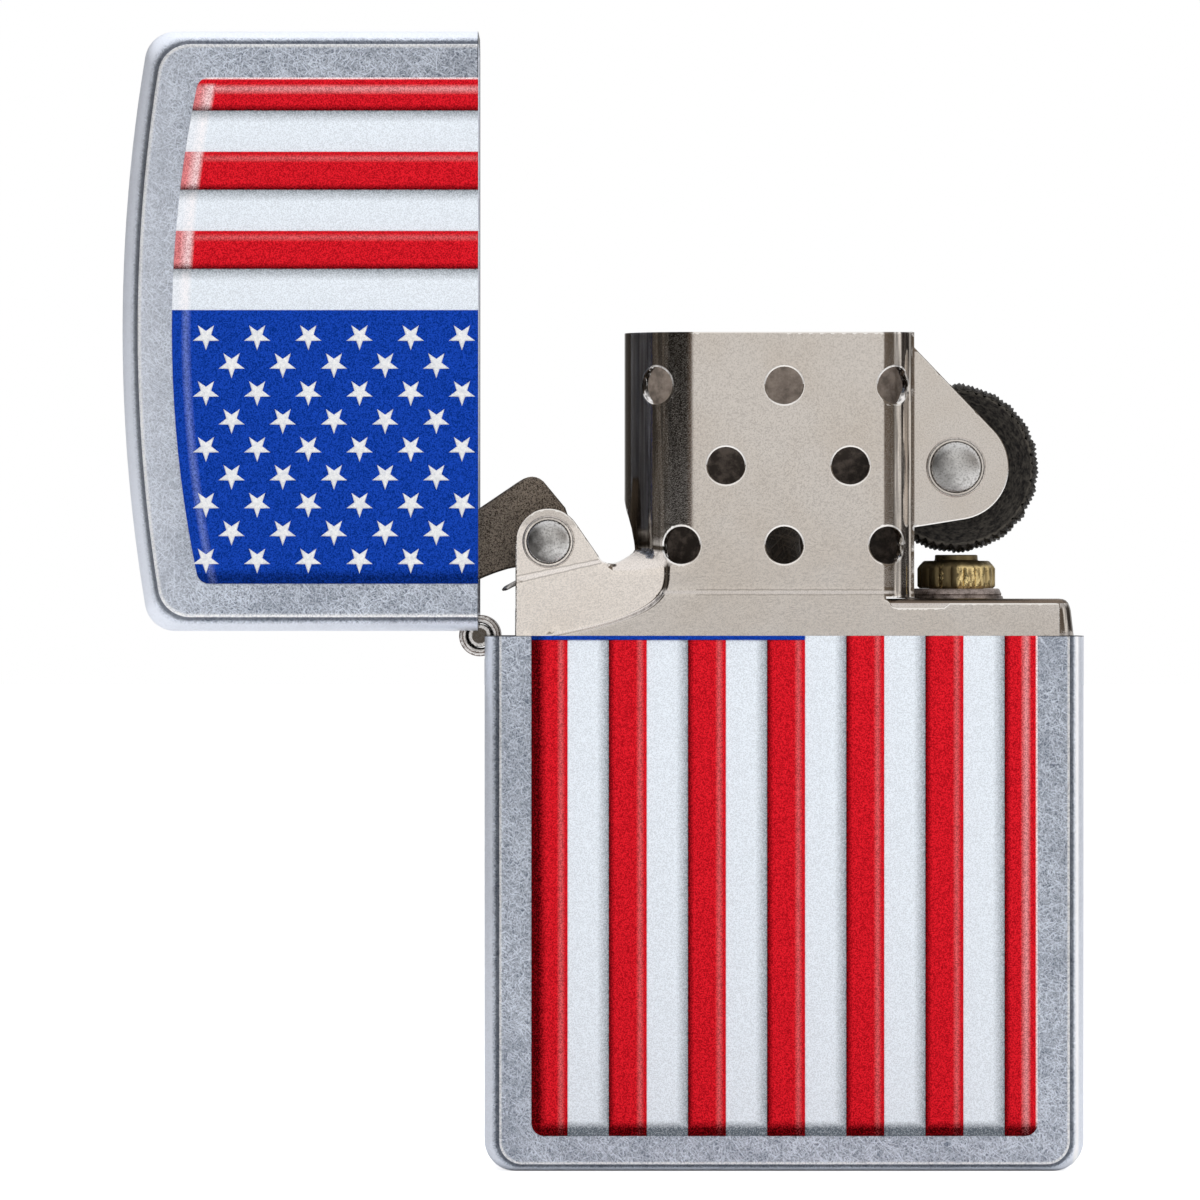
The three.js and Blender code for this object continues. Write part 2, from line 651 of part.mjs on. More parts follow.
function feltPad() {
  const sheet = solid(post(tankOutline(SHEET + 0.1), FELT.bottom, FELT.top));
  return cut(sheet, solid(barAlongZ(FLINT.x, 0, SCREW.headR + 0.3, FELT.bottom - 1, FELT.top + 1)));
}

// ---- the lighter ----
function buildCase() {
  const group = new THREE.Group();
  group.add(part("case_shell", caseShell(), chrome));
  group.add(part("case_hinge_leaf", hingeLeaf(-1, 0), nickel));
  group.add(part("case_flag_print", casePrint(), printRed));
  const half = HINGE_LENGTH / 2;
  const pin = barAlongY(HINGE.x, HINGE.z, PIN_R, -half + 0.05, half - 0.05);
  group.add(part("hinge_pin", pin, springSteel));
  return group;
}

// The lid is shaped shut, in a group on the hinge axis that is turned open.
function buildLid() {
  const hinge = new THREE.Group();
  hinge.position.set(HINGE.x, 0, HINGE.z);
  hinge.rotation.y = -Math.PI / 2;
  const shut = new THREE.Group();
  shut.position.set(-HINGE.x, 0, -HINGE.z);
  shut.add(part("lid_shell", lidShell(), chrome));
  shut.add(part("lid_hinge_leaf", hingeLeaf(1, 1), nickel));
  shut.add(part("lid_flag_print", lidPrint(), printBlue));
  hinge.add(shut);
  return hinge;
}

function buildInsert() {
  const group = new THREE.Group();
  group.add(part("insert_shell", insertShell(), nickel));
  group.add(part("insert_deck", insertDeck(), nickel));
  group.add(part("cam_rivet", rivet(CAM, CAM_EAR.face), nickel));
  group.add(part("wheel_rivet", rivet(WHEEL, WHEEL_EAR.face), nickel));
  group.add(part("cam_spring", camSpring(), springSteel));
  group.add(part("cam_spring_rivet", camSpringRivet(), nickel));
  group.add(part("flint_tube", flintTube(), brass));
  group.add(part("flint_tube_washer", flintTubeWasher(), wheelSteel));
  group.add(part("flint_spring", flintSpring(), springSteel));
  group.add(part("flint_screw", flintScrew(), brass));
  group.add(part("wick", wick(), cotton));
  ["top", "middle", "bottom"].forEach((place, index) => {
    group.add(part("packing_pad_" + place, packingPad(index), cotton));
  });
  group.add(part("felt_pad", feltPad(), felt));
  return group;
}

function buildMovingParts() {
  const group = new THREE.Group();
  group.add(part("cam_lever", camLever(), camSteel));
  group.add(part("flint_wheel", flintWheel(), wheelSteel));
  group.add(part("flint", flint(), flintGrey));
  group.add(part("flint_plunger", flintPlunger(), brass));
  return group;
}

const lighter = new THREE.Group();
lighter.name = "pocket_lighter";
lighter.add(buildCase(), buildLid(), buildInsert(), buildMovingParts());

export default lighter;
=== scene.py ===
"""The looks of a flip-top windproof pocket lighter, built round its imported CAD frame.

Shapes are written in millimetres, in the frame's axes: +X to the spark wheel, -Y to the printed
front, +Z up. The lid is shaped shut and turned open about the hinge.
"""

import math
import random
from functools import reduce

import bmesh
import bpy
import numpy as np
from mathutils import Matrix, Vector
from mathutils.geometry import delaunay_2d_cdt


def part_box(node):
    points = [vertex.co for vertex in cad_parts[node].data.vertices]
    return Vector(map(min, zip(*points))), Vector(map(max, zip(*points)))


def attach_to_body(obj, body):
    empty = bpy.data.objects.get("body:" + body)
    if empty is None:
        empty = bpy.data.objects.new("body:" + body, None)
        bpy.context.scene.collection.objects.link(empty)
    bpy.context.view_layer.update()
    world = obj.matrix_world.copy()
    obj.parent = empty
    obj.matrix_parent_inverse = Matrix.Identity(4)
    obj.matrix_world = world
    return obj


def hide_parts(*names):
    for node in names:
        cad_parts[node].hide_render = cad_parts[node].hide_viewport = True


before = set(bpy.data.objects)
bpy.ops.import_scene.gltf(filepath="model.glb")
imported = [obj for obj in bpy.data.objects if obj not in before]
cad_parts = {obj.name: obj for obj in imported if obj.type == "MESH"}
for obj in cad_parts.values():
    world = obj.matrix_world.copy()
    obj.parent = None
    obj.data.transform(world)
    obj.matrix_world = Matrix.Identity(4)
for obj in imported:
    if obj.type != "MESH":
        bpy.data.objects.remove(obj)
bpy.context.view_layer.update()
random.seed(7)
MM = 0.001


# ---- places taken from the frame, in millimetres ----
def box_mm(node):
    low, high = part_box(node)
    return low / MM, high / MM


def centre_mm(node):
    low, high = box_mm(node)
    return (low + high) / 2


case_low, case_high = box_mm("case_shell")
HALF_W = case_high.x
HALF_D = case_high.y
CASE_TOP = case_high.z
HINGE = centre_mm("hinge_pin")
LID_TOP = HINGE.z + HINGE.x - box_mm("lid_shell")[0].x
LID_RIM = CASE_TOP + 0.08
LID_RIM_X = HINGE.x - (LID_RIM - HINGE.z)  # the open lid's rim
CAM = centre_mm("cam_rivet")
WHEEL = centre_mm("wheel_rivet")
WHEEL_R = box_mm("flint_wheel")[1].z - WHEEL.z
WHEEL_HALF = box_mm("flint_wheel")[1].y
CAM_HALF = box_mm("cam_lever")[1].y
FLINT = centre_mm("flint")
tank_low, tank_high = box_mm("insert_shell")
DECK_TOP = box_mm("insert_deck")[1].z
WALL = 0.6  # case and lid sheet
CORNER_R = 1.95  # corners of the front outline
DOME_R = 106  # the lid's top arc
SHEET = 0.5  # insert sheet


# ---- geometry: every maker returns (points, faces) ----
def joined(*parts):
    points, faces = [], []
    for part_points, part_faces in parts:
        start = len(points)
        points += list(part_points)
        faces += [tuple(start + i for i in face) for face in part_faces]
    return points, faces


def moved(part, change):
    points, faces = part
    return [change(*p) for p in points], faces


def lid_open(x, y, z):
    """A point of the shut lid, turned a quarter turn open about the hinge."""
    return (HINGE.x - (z - HINGE.z), y, HINGE.z + (x - HINGE.x))


def loft(rings, caps=True, loop=False):
    """Closed rings of equal length joined in order; loop joins the last ring to the first."""
    count = len(rings[0])
    points = [p for ring in rings for p in ring]
    faces = []
    spans = len(rings) if loop else len(rings) - 1
    for r in range(spans):
        a = r * count
        b = (r + 1) % len(rings) * count
        for i in range(count):
            j = (i + 1) % count
            faces.append((a + i, a + j, b + j, b + i))
    if caps and not loop:
        faces.append(tuple(range(count)))
        faces.append(tuple(range((len(rings) - 1) * count, len(rings) * count)))
    return points, faces


def circle(centre, radius, axis, count):
    """A ring of points round an axis along Y or Z; radius is a number or a function of the count."""
    cx, cy, cz = centre
    ring = []
    for i in range(count):
        angle = 2 * math.pi * i / count
        reach = radius(i) if callable(radius) else radius
        u, v = reach * math.cos(angle), reach * math.sin(angle)
        ring.append((cx + u, cy, cz + v) if axis == "y" else (cx + u, cy + v, cz))
    return ring


def turned(profile, axis, centre, count=48, loop=False):
    """A profile of (radius, height) turned about the Y or Z axis through a centre."""
    rings = []
    for radius, height in profile:
        x, y, z = centre
        middle = (x, y + height, z) if axis == "y" else (x, y, z + height)
        rings.append(circle(middle, radius, axis, count))
    return loft(rings, loop=loop)


def arc(cx, cz, radius, start, end, steps=8):
    """Points on a circle from one angle to another, in degrees."""
    angles = [math.radians(start + (end - start) * i / steps) for i in range(steps + 1)]
    return [(cx + radius * math.cos(a), cz + radius * math.sin(a)) for a in angles]


def inset(outline, distance):
    """An anticlockwise outline moved inwards, with mitred corners."""
    result = []
    count = len(outline)
    for i in range(count):
        before, here, after = (np.array(outline[(i + k) % count], float) for k in (-1, 0, 1))
        into = (here - before) / np.linalg.norm(here - before)
        out = (after - here) / np.linalg.norm(after - here)
        side_in = np.array([-into[1], into[0]])
        side_out = np.array([-out[1], out[0]])
        shift = (side_in + side_out) / (1 + side_in @ side_out)
        result.append(tuple(here + distance * shift))
    return result


def clipped(outline, axis, low, high):
    """The part of a convex outline between two values of one coordinate."""
    for limit, sign in ((low, 1), (high, -1)):
        kept = []
        for i, here in enumerate(outline):
            before = outline[i - 1]
            here_in = sign * (here[axis] - limit) > 1e-9
            before_in = sign * (before[axis] - limit) > 1e-9
            if here_in != before_in:
                t = (limit - before[axis]) / (here[axis] - before[axis])
                kept.append(tuple(b + t * (h - b) for b, h in zip(before, here)))
            if here_in:
                kept.append(here)
        outline = kept
    return outline


def prism(outline, front, back, edge=0.0):
    """An anticlockwise XZ outline given thickness along Y, its rims rounded by edge."""
    if not edge:
        return loft([[(x, y, z) for x, z in outline] for y in (front, back)])
    steps = [(1 - math.sin(a), 1 - math.cos(a)) for a in np.radians([0, 35, 65, 90])]
    levels = [(edge * s, front + edge * d) for s, d in steps]
    levels += [(edge * s, back - edge * d) for s, d in reversed(steps)]
    return loft([[(x, y, z) for x, z in inset(outline, s)] for s, y in levels])


def smoothstep(low, high, value):
    t = min(1.0, max(0.0, (value - low) / (high - low)))
    return t * t * (3 - 2 * t)


# ---- pieces: meshes that ride on a CAD body ----
def mesh_of(name, part):
    points, faces = part
    mesh = bpy.data.meshes.new(name)
    mesh.from_pydata([tuple(c * MM for c in p) for p in points], [], faces)
    return mesh


def repair(mesh, merge=0.0):
    """Joins points nearer than merge millimetres, and turns every face outward."""
    work = bmesh.new()
    work.from_mesh(mesh)
    if merge:
        bmesh.ops.remove_doubles(work, verts=work.verts, dist=merge * MM)
    bmesh.ops.recalc_face_normals(work, faces=work.faces)
    work.to_mesh(mesh)
    work.free()


def add_object(name, data):
    obj = bpy.data.objects.new(name, data)
    bpy.context.scene.collection.objects.link(obj)
    return obj


def attach(obj, body, nodes):
    """Puts the object on a body, in place of CAD nodes."""
    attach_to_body(obj, body)
    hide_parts(*nodes)


def piece(name, body, part, material, node_name, sharp=38, weld=True):
    mesh = mesh_of(name, part)
    if weld:
        repair(mesh, 2e-4)
    mesh.validate()
    mesh.materials.append(material)
    obj = add_object(name, mesh)
    smooth(obj, sharp)
    attach(obj, body, [node_name])
    return obj


def smooth(obj, sharp):
    obj.data.polygons.foreach_set("use_smooth", [True] * len(obj.data.polygons))
    obj.data.set_sharp_from_angle(angle=math.radians(sharp))


def bake(obj, sharp=38):
    """Turns the object's modifiers into its mesh."""
    graph = bpy.context.evaluated_depsgraph_get()
    mesh = bpy.data.meshes.new_from_object(obj.evaluated_get(graph))
    obj.modifiers.clear()
    obj.data = mesh
    smooth(obj, sharp)


def round_rims(obj, width, angle=50, segments=2, sharp=38):
    """Rounds the edges sharper than an angle."""
    bevel = obj.modifiers.new("rims", "BEVEL")
    bevel.width = width * MM
    bevel.segments = segments
    bevel.limit_method = "ANGLE"
    bevel.angle_limit = math.radians(angle)
    bevel.use_clamp_overlap = True
    bake(obj, sharp)


def cut(obj, tool_part):
    """Takes a closed shape out of the object."""
    mesh = mesh_of("tool", tool_part)
    repair(mesh)
    tool = add_object("tool", mesh)
    boolean = obj.modifiers.new("cut", "BOOLEAN")
    boolean.operation = "DIFFERENCE"
    boolean.solver = "EXACT"
    boolean.object = tool
    bake(obj)
    bpy.data.objects.remove(tool)


def char_above(obj, height, material):
    """Gives the faces above a height a second material."""
    obj.data.materials.append(material)
    for face in obj.data.polygons:
        if face.center.z > height * MM:
            face.material_index = 1


# ---- material tools ----
WHITE = (1.0, 1.0, 1.0)


class Value:
    """The output of a shader node. Sums and products of Values add Math nodes to its tree."""

    def __init__(self, socket):
        self.socket = socket
        self.tree = socket.id_data

    def math(self, operation, *others):
        return node(self.tree, "Math", dict(enumerate((self, *others))), operation=operation)

    def __add__(self, other):
        return self.math("ADD", other)

    def __sub__(self, other):
        return self.math("SUBTRACT", other)

    def __rsub__(self, other):
        return node(self.tree, "Math", {0: other, 1: self}, operation="SUBTRACT")

    def __mul__(self, other):
        return self.math("MULTIPLY", other)

    def __abs__(self):
        return self.math("ABSOLUTE")

    def at_least(self, other):
        return self.math("MAXIMUM", other)

    def at_most(self, other):
        return self.math("MINIMUM", other)

    def over(self, limit):
        """1 above the limit, 0 below it."""
        return self.math("GREATER_THAN", limit)

    def remap(self, low, high, to_low=0.0, to_high=1.0):
        """The run from low to high turned into the run from to_low to to_high, held at both ends."""
        inputs = {"Value": self, "From Min": low, "From Max": high, "To Min": to_low, "To Max": to_high}
        return node(self.tree, "MapRange", inputs)

    def split(self):
        made = self.tree.nodes.new("ShaderNodeSeparateXYZ")
        link(made.inputs[0], self)
        return [Value(output) for output in made.outputs]


def link(socket, value):
    """Gives an input socket a Value, a colour or a plain number or vector."""
    if isinstance(value, Value):
        socket.id_data.links.new(value.socket, socket)
    elif socket.type == "RGBA":
        socket.default_value = (*value, 1)
    else:
        socket.default_value = value


def node(tree, kind, inputs=None, output=0, **settings):
    """One output of a new shader node."""
    made = tree.nodes.new("ShaderNode" + kind)
    for key, value in settings.items():
        setattr(made, key, value)
    for key, value in (inputs or {}).items():
        link(made.inputs[key], value)
    return Value(made.outputs[output])


def mix(factor, first, second, blend="MIX"):
    """Two colours mixed: factor 0 gives the first, 1 the second."""
    inputs = {0: factor, 6: first, 7: second}
    return node(factor.tree, "Mix", inputs, 2, data_type="RGBA", blend_type=blend)


def ramp(share, stops):
    """Colours along 0 to 1, from stops of (position, red, green, blue)."""
    colours = node(share.tree, "ValToRGB", {"Fac": share})
    elements = colours.socket.node.color_ramp.elements
    while len(elements) < len(stops):
        elements.new(0.5)
    for element, (position, *colour) in zip(elements, stops):
        element.position = position
        element.color = (*colour, 1)
    return colours


def grain(place, size, detail=2.0, roughness=0.5):
    """Noise whose features are about size millimetres across; size may be three numbers."""
    sizes = size if isinstance(size, tuple) else (size, size, size)
    mapped = node(place.tree, "Mapping", {"Vector": place, "Scale": sizes}, vector_type="TEXTURE")
    inputs = {"Vector": mapped, "Scale": 1.0, "Detail": detail, "Roughness": roughness}
    return node(place.tree, "TexNoise", inputs)


def scratches(place, kinds, width):
    """Hair scratches, 0 to 1, from kinds of (angle in the front plane, length)."""
    layers = []
    for angle, length in kinds:
        inputs = {"Vector": place, "Location": (angle, 0, 0), "Rotation": (0, math.radians(angle), 0.3)}
        inputs["Scale"] = (length, length, width)
        mapped = node(place.tree, "Mapping", inputs, vector_type="TEXTURE")
        found = node(place.tree, "TexNoise", {"Vector": mapped, "Scale": 1.0, "Detail": 1.0})
        layers.append(found.remap(0.52, 0.72))
    return reduce(Value.at_least, layers)


def attribute(place, name, output="Fac"):
    return node(place.tree, "Attribute", output=output, attribute_name=name)


def scaled(colour, share):
    return tuple(min(1.0, share * c) for c in colour)


class Look:
    """A new material and its object coordinates, place, in millimetres."""

    def __init__(self, name):
        self.material = bpy.data.materials.new(name)
        self.material.use_nodes = True
        tree = self.material.node_tree
        self.inputs = tree.nodes["Principled BSDF"].inputs
        metres = node(tree, "TexCoord", output="Object")
        self.place = node(tree, "VectorMath", {0: metres, "Scale": 1 / MM}, operation="SCALE")

    def finish(self, colour, roughness, metal, height=None, depth=0.0, **others):
        """The material with its looks set; depth is the bump's, in millimetres."""
        values = {"Base Color": colour, "Roughness": roughness, "Metallic": metal, **others}
        if height:
            bump = {"Height": height, "Strength": 1.0, "Distance": depth * MM}
            values["Normal"] = node(height.tree, "Bump", bump)
        for key, value in values.items():
            link(self.inputs[key], value)
        return self.material


# ---- materials ----
STEP_DEEP = 0.17  # the groove between the flat front and the rolled edge of case and lid


def chrome_material():
    """Chrome under dense hair scratches, with painted shade in the groove round its flat faces and painted
    light on their edges and rolls.
    """
    look = Look("street_chrome")
    x, y, z = look.place.split()
    hairs = ((12, 0.5), (33, 0.7), (52, 1.3), (71, 0.5), (97, 0.6), (128, 0.55), (158, 0.9))
    fine = grain(look.place, 0.13, 2.0, 0.6).remap(0.36, 0.64)
    cloud = grain(look.place, 2.5).remap(0.3, 0.7, 0.75, 1.1)
    mottle = (scratches(look.place, hairs, 0.085) * 0.62 + fine * 0.38) * cloud
    tone = mix(mottle.remap(0.05, 0.85), (0.13, 0.16, 0.22), (0.80, 0.86, 0.96))
    crown = x.remap(-41.0, -36.0, 0.5, 0.0)  # lighter towards the lid's top
    tone = mix(crown, tone, (0.84, 0.88, 0.96))

    deep = HALF_D - abs(y)  # below the flat faces
    # painted highlight: a bright line along the edge of the flat faces
    edge = deep.remap(0.001, 0.005) * deep.remap(0.034, 0.045, 1.0, 0.0)
    tone = mix(edge * fine.remap(0.2, 0.8, 0.5, 1.0), tone, WHITE)
    band = deep.remap(0.22, 0.4) * deep.remap(1.6, 3.0, 1.0, 0.15)  # the rolled edge: smoother, and painted paler as painted light
    tone = mix(band * 0.85, tone, (0.86, 0.90, 0.98))
    # painted highlight: a white line down the right-hand roll
    painted_glint = abs(x - (HALF_W - 0.55)).remap(0.08, 0.25, 0.9, 0.0) * band
    tone = mix(painted_glint, tone, WHITE)
    # painted shade in the groove round the flat faces
    groove = deep.remap(0.038, 0.07) * deep.remap(0.19, 0.26, 1.0, 0.0)
    tone = mix(groove * 0.75, tone, (0.05, 0.06, 0.08))

    # painted shade: the open rims of case and lid are painted near black
    beside_lid = x.over(LID_RIM_X + 0.1)
    case_rim_shade = z.over(CASE_TOP - 0.05) * beside_lid
    lid_rim_shade = x.over(LID_RIM_X - 0.04) * (1.0 - beside_lid)
    tone = mix(case_rim_shade.at_least(lid_rim_shade) * 0.85, tone, (0.03, 0.03, 0.035))

    metal = band.remap(0.0, 1.0, 0.85, 0.5) - painted_glint * 0.4
    height = mottle * band.remap(0.0, 1.0, 1.0, 0.25)
    return look.finish(tone, mottle.remap(0.0, 0.9, 0.30, 0.46), metal, height, 0.012)


# Fine bend lines of the insert sheet, drawn as painted shade: (left end, right end, height at the left end,
# rise per mm).
BEND_LINES = [(-17.0, -11.8, 37.79, 0.205), (-17.0, -11.6, 37.35, 0.237)]
BEND_LINES += [(-5.6, 6.2, 36.92, 0.0), (-5.6, 6.4, 36.60, 0.0)]


def bend_line_shade(place):
    """Strength of the painted shade along the thin lines where the sheet was set back or bent."""
    across, _, up = place.split()
    wobble = grain(place, 0.4).remap(0.3, 0.7, -0.02, 0.02)
    found = []
    for left, right, height, rise in BEND_LINES:
        line = (across - left) * rise + height
        strength = abs(up + wobble - line).remap(0.02, 0.07, 0.5, 0.0)
        found.append(strength * across.over(left) * across.math("LESS_THAN", right))
    return reduce(Value.at_least, found)


def nickel_material(name, colour, roughness, darkening=0.0):
    """Warm sheet, nearly a mirror, with a fine dark speckle, painted sheen and highlights, and painted shade
    on its bends, sides and inside.
    """
    look = Look(name)
    _, y, z = look.place.split()
    speckle = grain(look.place, 0.085, 2.0, 0.6)
    tone = mix(speckle.remap(0.44, 0.66) * 0.42, colour, scaled(colour, 0.5))
    # painted sheen on the cam ear's set-back side
    painted_sheen_share = attribute(look.place, "painted_sheen") * speckle.remap(0.4, 0.6, 1.0, 0.6)
    tone = mix(painted_sheen_share, tone, scaled(colour, 1.32))
    # painted highlight on the sheet's cut edges and hole rims
    painted_rim_highlight = attribute(look.place, "rim").remap(0.1, 0.4, 0.0, 0.9)
    tone = mix(painted_rim_highlight, tone, (0.98, 0.96, 0.93))
    # painted shade along the bend lines
    tone = mix(bend_line_shade(look.place), tone, scaled(colour, 0.35))
    stain = grain(look.place, 4.0).remap(0.4, 0.75, 0.0, 0.7)
    tone = mix(stain, tone, scaled((0.93, 0.90, 0.86), 1 - darkening), "MULTIPLY")

    sideways, facing, _ = node(stain.tree, "NewGeometry", output="Normal").split()
    # painted shade, in streaks, on faces turned sideways; darkest on those turned left
    drawn = grain(look.place, (0.22, 0.22, 5.0)).remap(0.38, 0.62, 0.75, 0.0)
    streaky_side_shade = drawn * abs(sideways).remap(0.15, 0.5)
    tone = mix(streaky_side_shade, tone, scaled(colour, 0.16))
    tone = mix(sideways.remap(-0.8, -0.45, 0.85, 0.0), tone, (0.11, 0.088, 0.066))

    inner = y.over(1.0) * facing.remap(-0.6, -0.3, 1.0, 0.0)  # the chimney's back wall, seen from inside
    dirt = grain(look.place, 0.7, 4.0, 0.7).remap(0.36, 0.64, -0.3, 0.3)
    # painted shade on the chimney's back wall inside, painted lighter towards its open top
    painted_inside_shade = mix(z.remap(46.5, 50.0, 0.9, 0.35) + dirt, (0.46, 0.38, 0.32), (0.07, 0.055, 0.045))
    tone = mix(inner, tone, painted_inside_shade)
    rough = speckle.remap(0.4, 0.7, roughness - 0.03, roughness + 0.07).at_least(inner * 0.5)
    return look.finish(tone, rough, inner.remap(0.0, 1.0, 1.0, 0.15), speckle, 0.0014)


def metal_material(name, colour, dark, roughness, size, depth, metal=1.0, contrast=0.13):
    """A grainy metal whose tone wanders between two colours."""
    look = Look(name)
    coarse = grain(look.place, size, 4.0, 0.65)
    mixed = coarse * 0.6 + grain(look.place, 0.3 * size) * 0.4
    tone = mix(mixed.remap(0.49 - contrast, 0.49 + contrast), dark, colour)
    return look.finish(tone, coarse.remap(0.3, 0.7, roughness - 0.07, roughness + 0.1), metal, mixed, depth)


def ringed_material(name, centre, rings, roughness, shadow=0.0):
    """A metal seen end on: its colour changes with the distance from an axis along Y, in millimetres.

    shadow is the strength of the painted shade on its lower left.
    """
    look = Look(name)
    tree = look.place.tree
    limit = rings[-1][0]
    level = node(tree, "Mapping", {"Vector": look.place, "Scale": (1, 0, 1)})
    middle = (centre.x, 0, centre.z)
    reach = node(tree, "VectorMath", {0: level, 1: middle}, "Value", operation="DISTANCE")
    speckle = grain(look.place, 0.12)
    share = (reach + speckle.remap(0.3, 0.7, -0.03, 0.03)).math("DIVIDE", limit)
    tone = ramp(share, [(radius / limit, *colour) for radius, *colour in rings])
    tone = mix(speckle.remap(0.5, 0.66) * 0.5, tone, (0.16, 0.15, 0.14))

    x, _, z = look.place.split()
    # painted shade on the lower left, for the dark studio the metal reflects
    lean = (x - centre.x) * 0.85 + (z - centre.z) * 0.5
    lean = lean + grain(look.place, 0.5, 3.0).remap(0.3, 0.7, -0.4, 0.4)
    inner = reach.remap(limit - 0.55, limit - 0.5, shadow, 0.0)
    tone = mix(lean.remap(-1.0, 0.45, 1.0, 0.0) * inner, tone, (0.06, 0.055, 0.05))
    return look.finish(tone, speckle.remap(0.3, 0.7, roughness, roughness + 0.1), 1.0, speckle, 0.004)


def rivet_material(name, centre, radius, shadow):
    """Steel with a dark seam and a pale lip round the head."""
    steel, seam = (0.70, 0.69, 0.67), (0.06, 0.055, 0.05)
    lip, sheet = (0.95, 0.95, 0.93), (0.70, 0.65, 0.60)
    rings = [(0, *steel), (radius - 0.11, *steel), (radius - 0.07, *seam), (radius - 0.02, *seam)]
    rings += [(radius + 0.01, *lip), (radius + 0.08, *lip), (radius + 0.12, *sheet), (radius + 0.4, *sheet)]
    return ringed_material(name, centre, rings, 0.3, shadow)


def hinge_material():
    """Rolled knuckles round a pin: bright rings, a dark gap, a seam in the sheet, a dull pin end."""
    dull, bright = (0.10, 0.085, 0.07), (0.74, 0.72, 0.70)
    gap, seam, sheet = (0.012, 0.011, 0.01), (0.13, 0.09, 0.075), (0.70, 0.645, 0.59)
    rings = [(0, *dull), (0.46, *dull), (0.52, *bright), (0.66, *bright), (0.70, *gap), (0.88, *gap)]
    rings += [(0.92, *bright), (1.03, *bright), (1.06, *seam), (1.10, *seam), (1.13, *bright)]
    rings += [(1.23, *bright), (1.26, *seam), (1.31, *seam), (1.36, *sheet), (1.6, *sheet)]
    return ringed_material("hinge_nickel", HINGE, rings, 0.22)


def brass_material():
    """Brass with painted shade on the left but for a painted highlight streak, painted shade to the right,
    darker at the top, and dark pits.
    """
    look = Look("brass_painted_shade")
    x, _, z = look.place.split()
    coarse = grain(look.place, 0.22, 3.0, 0.6)
    # painted shade left and right of the tube, with a painted highlight streak on the left
    wander = x - FLINT.x + coarse.remap(0.3, 0.7, -0.12, 0.12)
    streak = wander.math("COMPARE", -1.05, 0.09)
    left = wander.remap(-0.05, 0.12, 0.9, 0.0) * streak.remap(0.0, 1.0, 1.0, 0.1)
    top = z.remap(38.3, 38.55, 0.0, 0.82)
    right = wander.remap(1.1, 2.3, 0.0, 0.45)
    pits = coarse.remap(0.52, 0.66, 0.0, 0.75)
    darkening = reduce(Value.at_least, (left, top, right, pits))
    tone = mix(darkening, (0.90, 0.70, 0.33), (0.10, 0.075, 0.04))
    return look.finish(tone, darkening.remap(0.0, 1.0, 0.24, 0.5), 1.0, coarse, 0.012)


PRINT = {"half": 16.05, "bottom": 2.28, "below_top": 3.2, "dome_r": 76.0, "corner": 0.8}
STRIPE = {"pitch": 5.02, "width": 2.4, "left": -1.1}  # left is the middle red stripe's left edge
FIELD_RIGHT = 1.3  # the starred field's edge, lid shut


def art_shade(place):
    """Shade painted into the artwork, drawn as if raised and lit from upper right.

    Gives the dark and light factors, the light one under the dome, and the place across a stripe's pitch
    and from the right edge.
    """
    art = attribute(place, "art", "Vector")
    u, _, v = art.split()
    centre = (0, 0, LID_TOP - PRINT["below_top"] - PRINT["dome_r"])
    reach = node(place.tree, "VectorMath", {0: art, 1: centre}, "Value", operation="DISTANCE")
    top = PRINT["dome_r"] - reach
    right = PRINT["half"] - u
    border = (u + PRINT["half"]).at_most(v - PRINT["bottom"])
    dark = border.remap(0.45, 0.98, 1.0, 0.0)
    crest = (right - 0.14).at_most(top)
    light = crest.remap(0.28, 0.55) * crest.remap(0.6, 0.95, 0.27, 0.0)
    light = light.at_least(right.remap(0.05, 0.15, 0.8, 0.0))
    brow = top.remap(0.0, 0.5, 0.22, 0.6) * top.remap(0.65, 0.95, 1.0, 0.0) * right.remap(0.35, 0.6)
    run = (u - STRIPE["left"]).math("FLOORED_MODULO", STRIPE["pitch"])
    return dark, light, brow, run, right


# How each kind of ink is shaded: (dark spots, bright spots, colour in the shade, colour in the light).
INK_SHADES = {
    "stripe": (0.62, 1.35, None, (0.95, 0.90, 0.90)),
    "field": (0.62, 1.35, None, (0.55, 0.65, 0.95)),
    "band": (0.86, 1.12, (0.10, 0.12, 0.14), (0.95, 0.90, 0.90)),
}


def ink_material(name, colour, kind):
    """Grainy printed ink; kind picks the shading the artwork gives a stripe, a band or the field."""
    look = Look(name)
    dark, light, brow, run, right = art_shade(look.place)
    if kind == "field":
        dark = dark * 0.62
        light = light * 0.7
    else:
        light = light.at_least(brow)
    if kind == "stripe":
        dark = dark.at_least(run.remap(0.06, 0.4, 0.85, 0.0))
        glow = run.remap(1.72, 1.95) * run.remap(2.0, 2.25, 0.09, 0.0)
        light = light.at_least(glow * right.over(2.0))  # the outermost stripe has only the crest
    if kind == "band":
        dark = dark.at_least(run.remap(STRIPE["pitch"] - 0.75, STRIPE["pitch"], 0.0, 0.75))
    spots, spots_bright, deep, pale = INK_SHADES[kind]
    speckle = grain(look.place, 0.075, 1.0)
    high = tuple(min(0.95, spots_bright * c + 0.006) for c in colour)
    tone = mix(speckle.remap(0.36, 0.62), scaled(colour, spots), high)
    tone = mix(light * speckle.remap(0.38, 0.6, 0.55, 1.25), tone, pale)
    tone = mix(dark * speckle.remap(0.38, 0.62, 1.15, 0.75), tone, deep or scaled(colour, 0.07))
    return look.finish(tone, 0.6, 0.0, speckle, 0.006, **{"Specular IOR Level": 0.0})


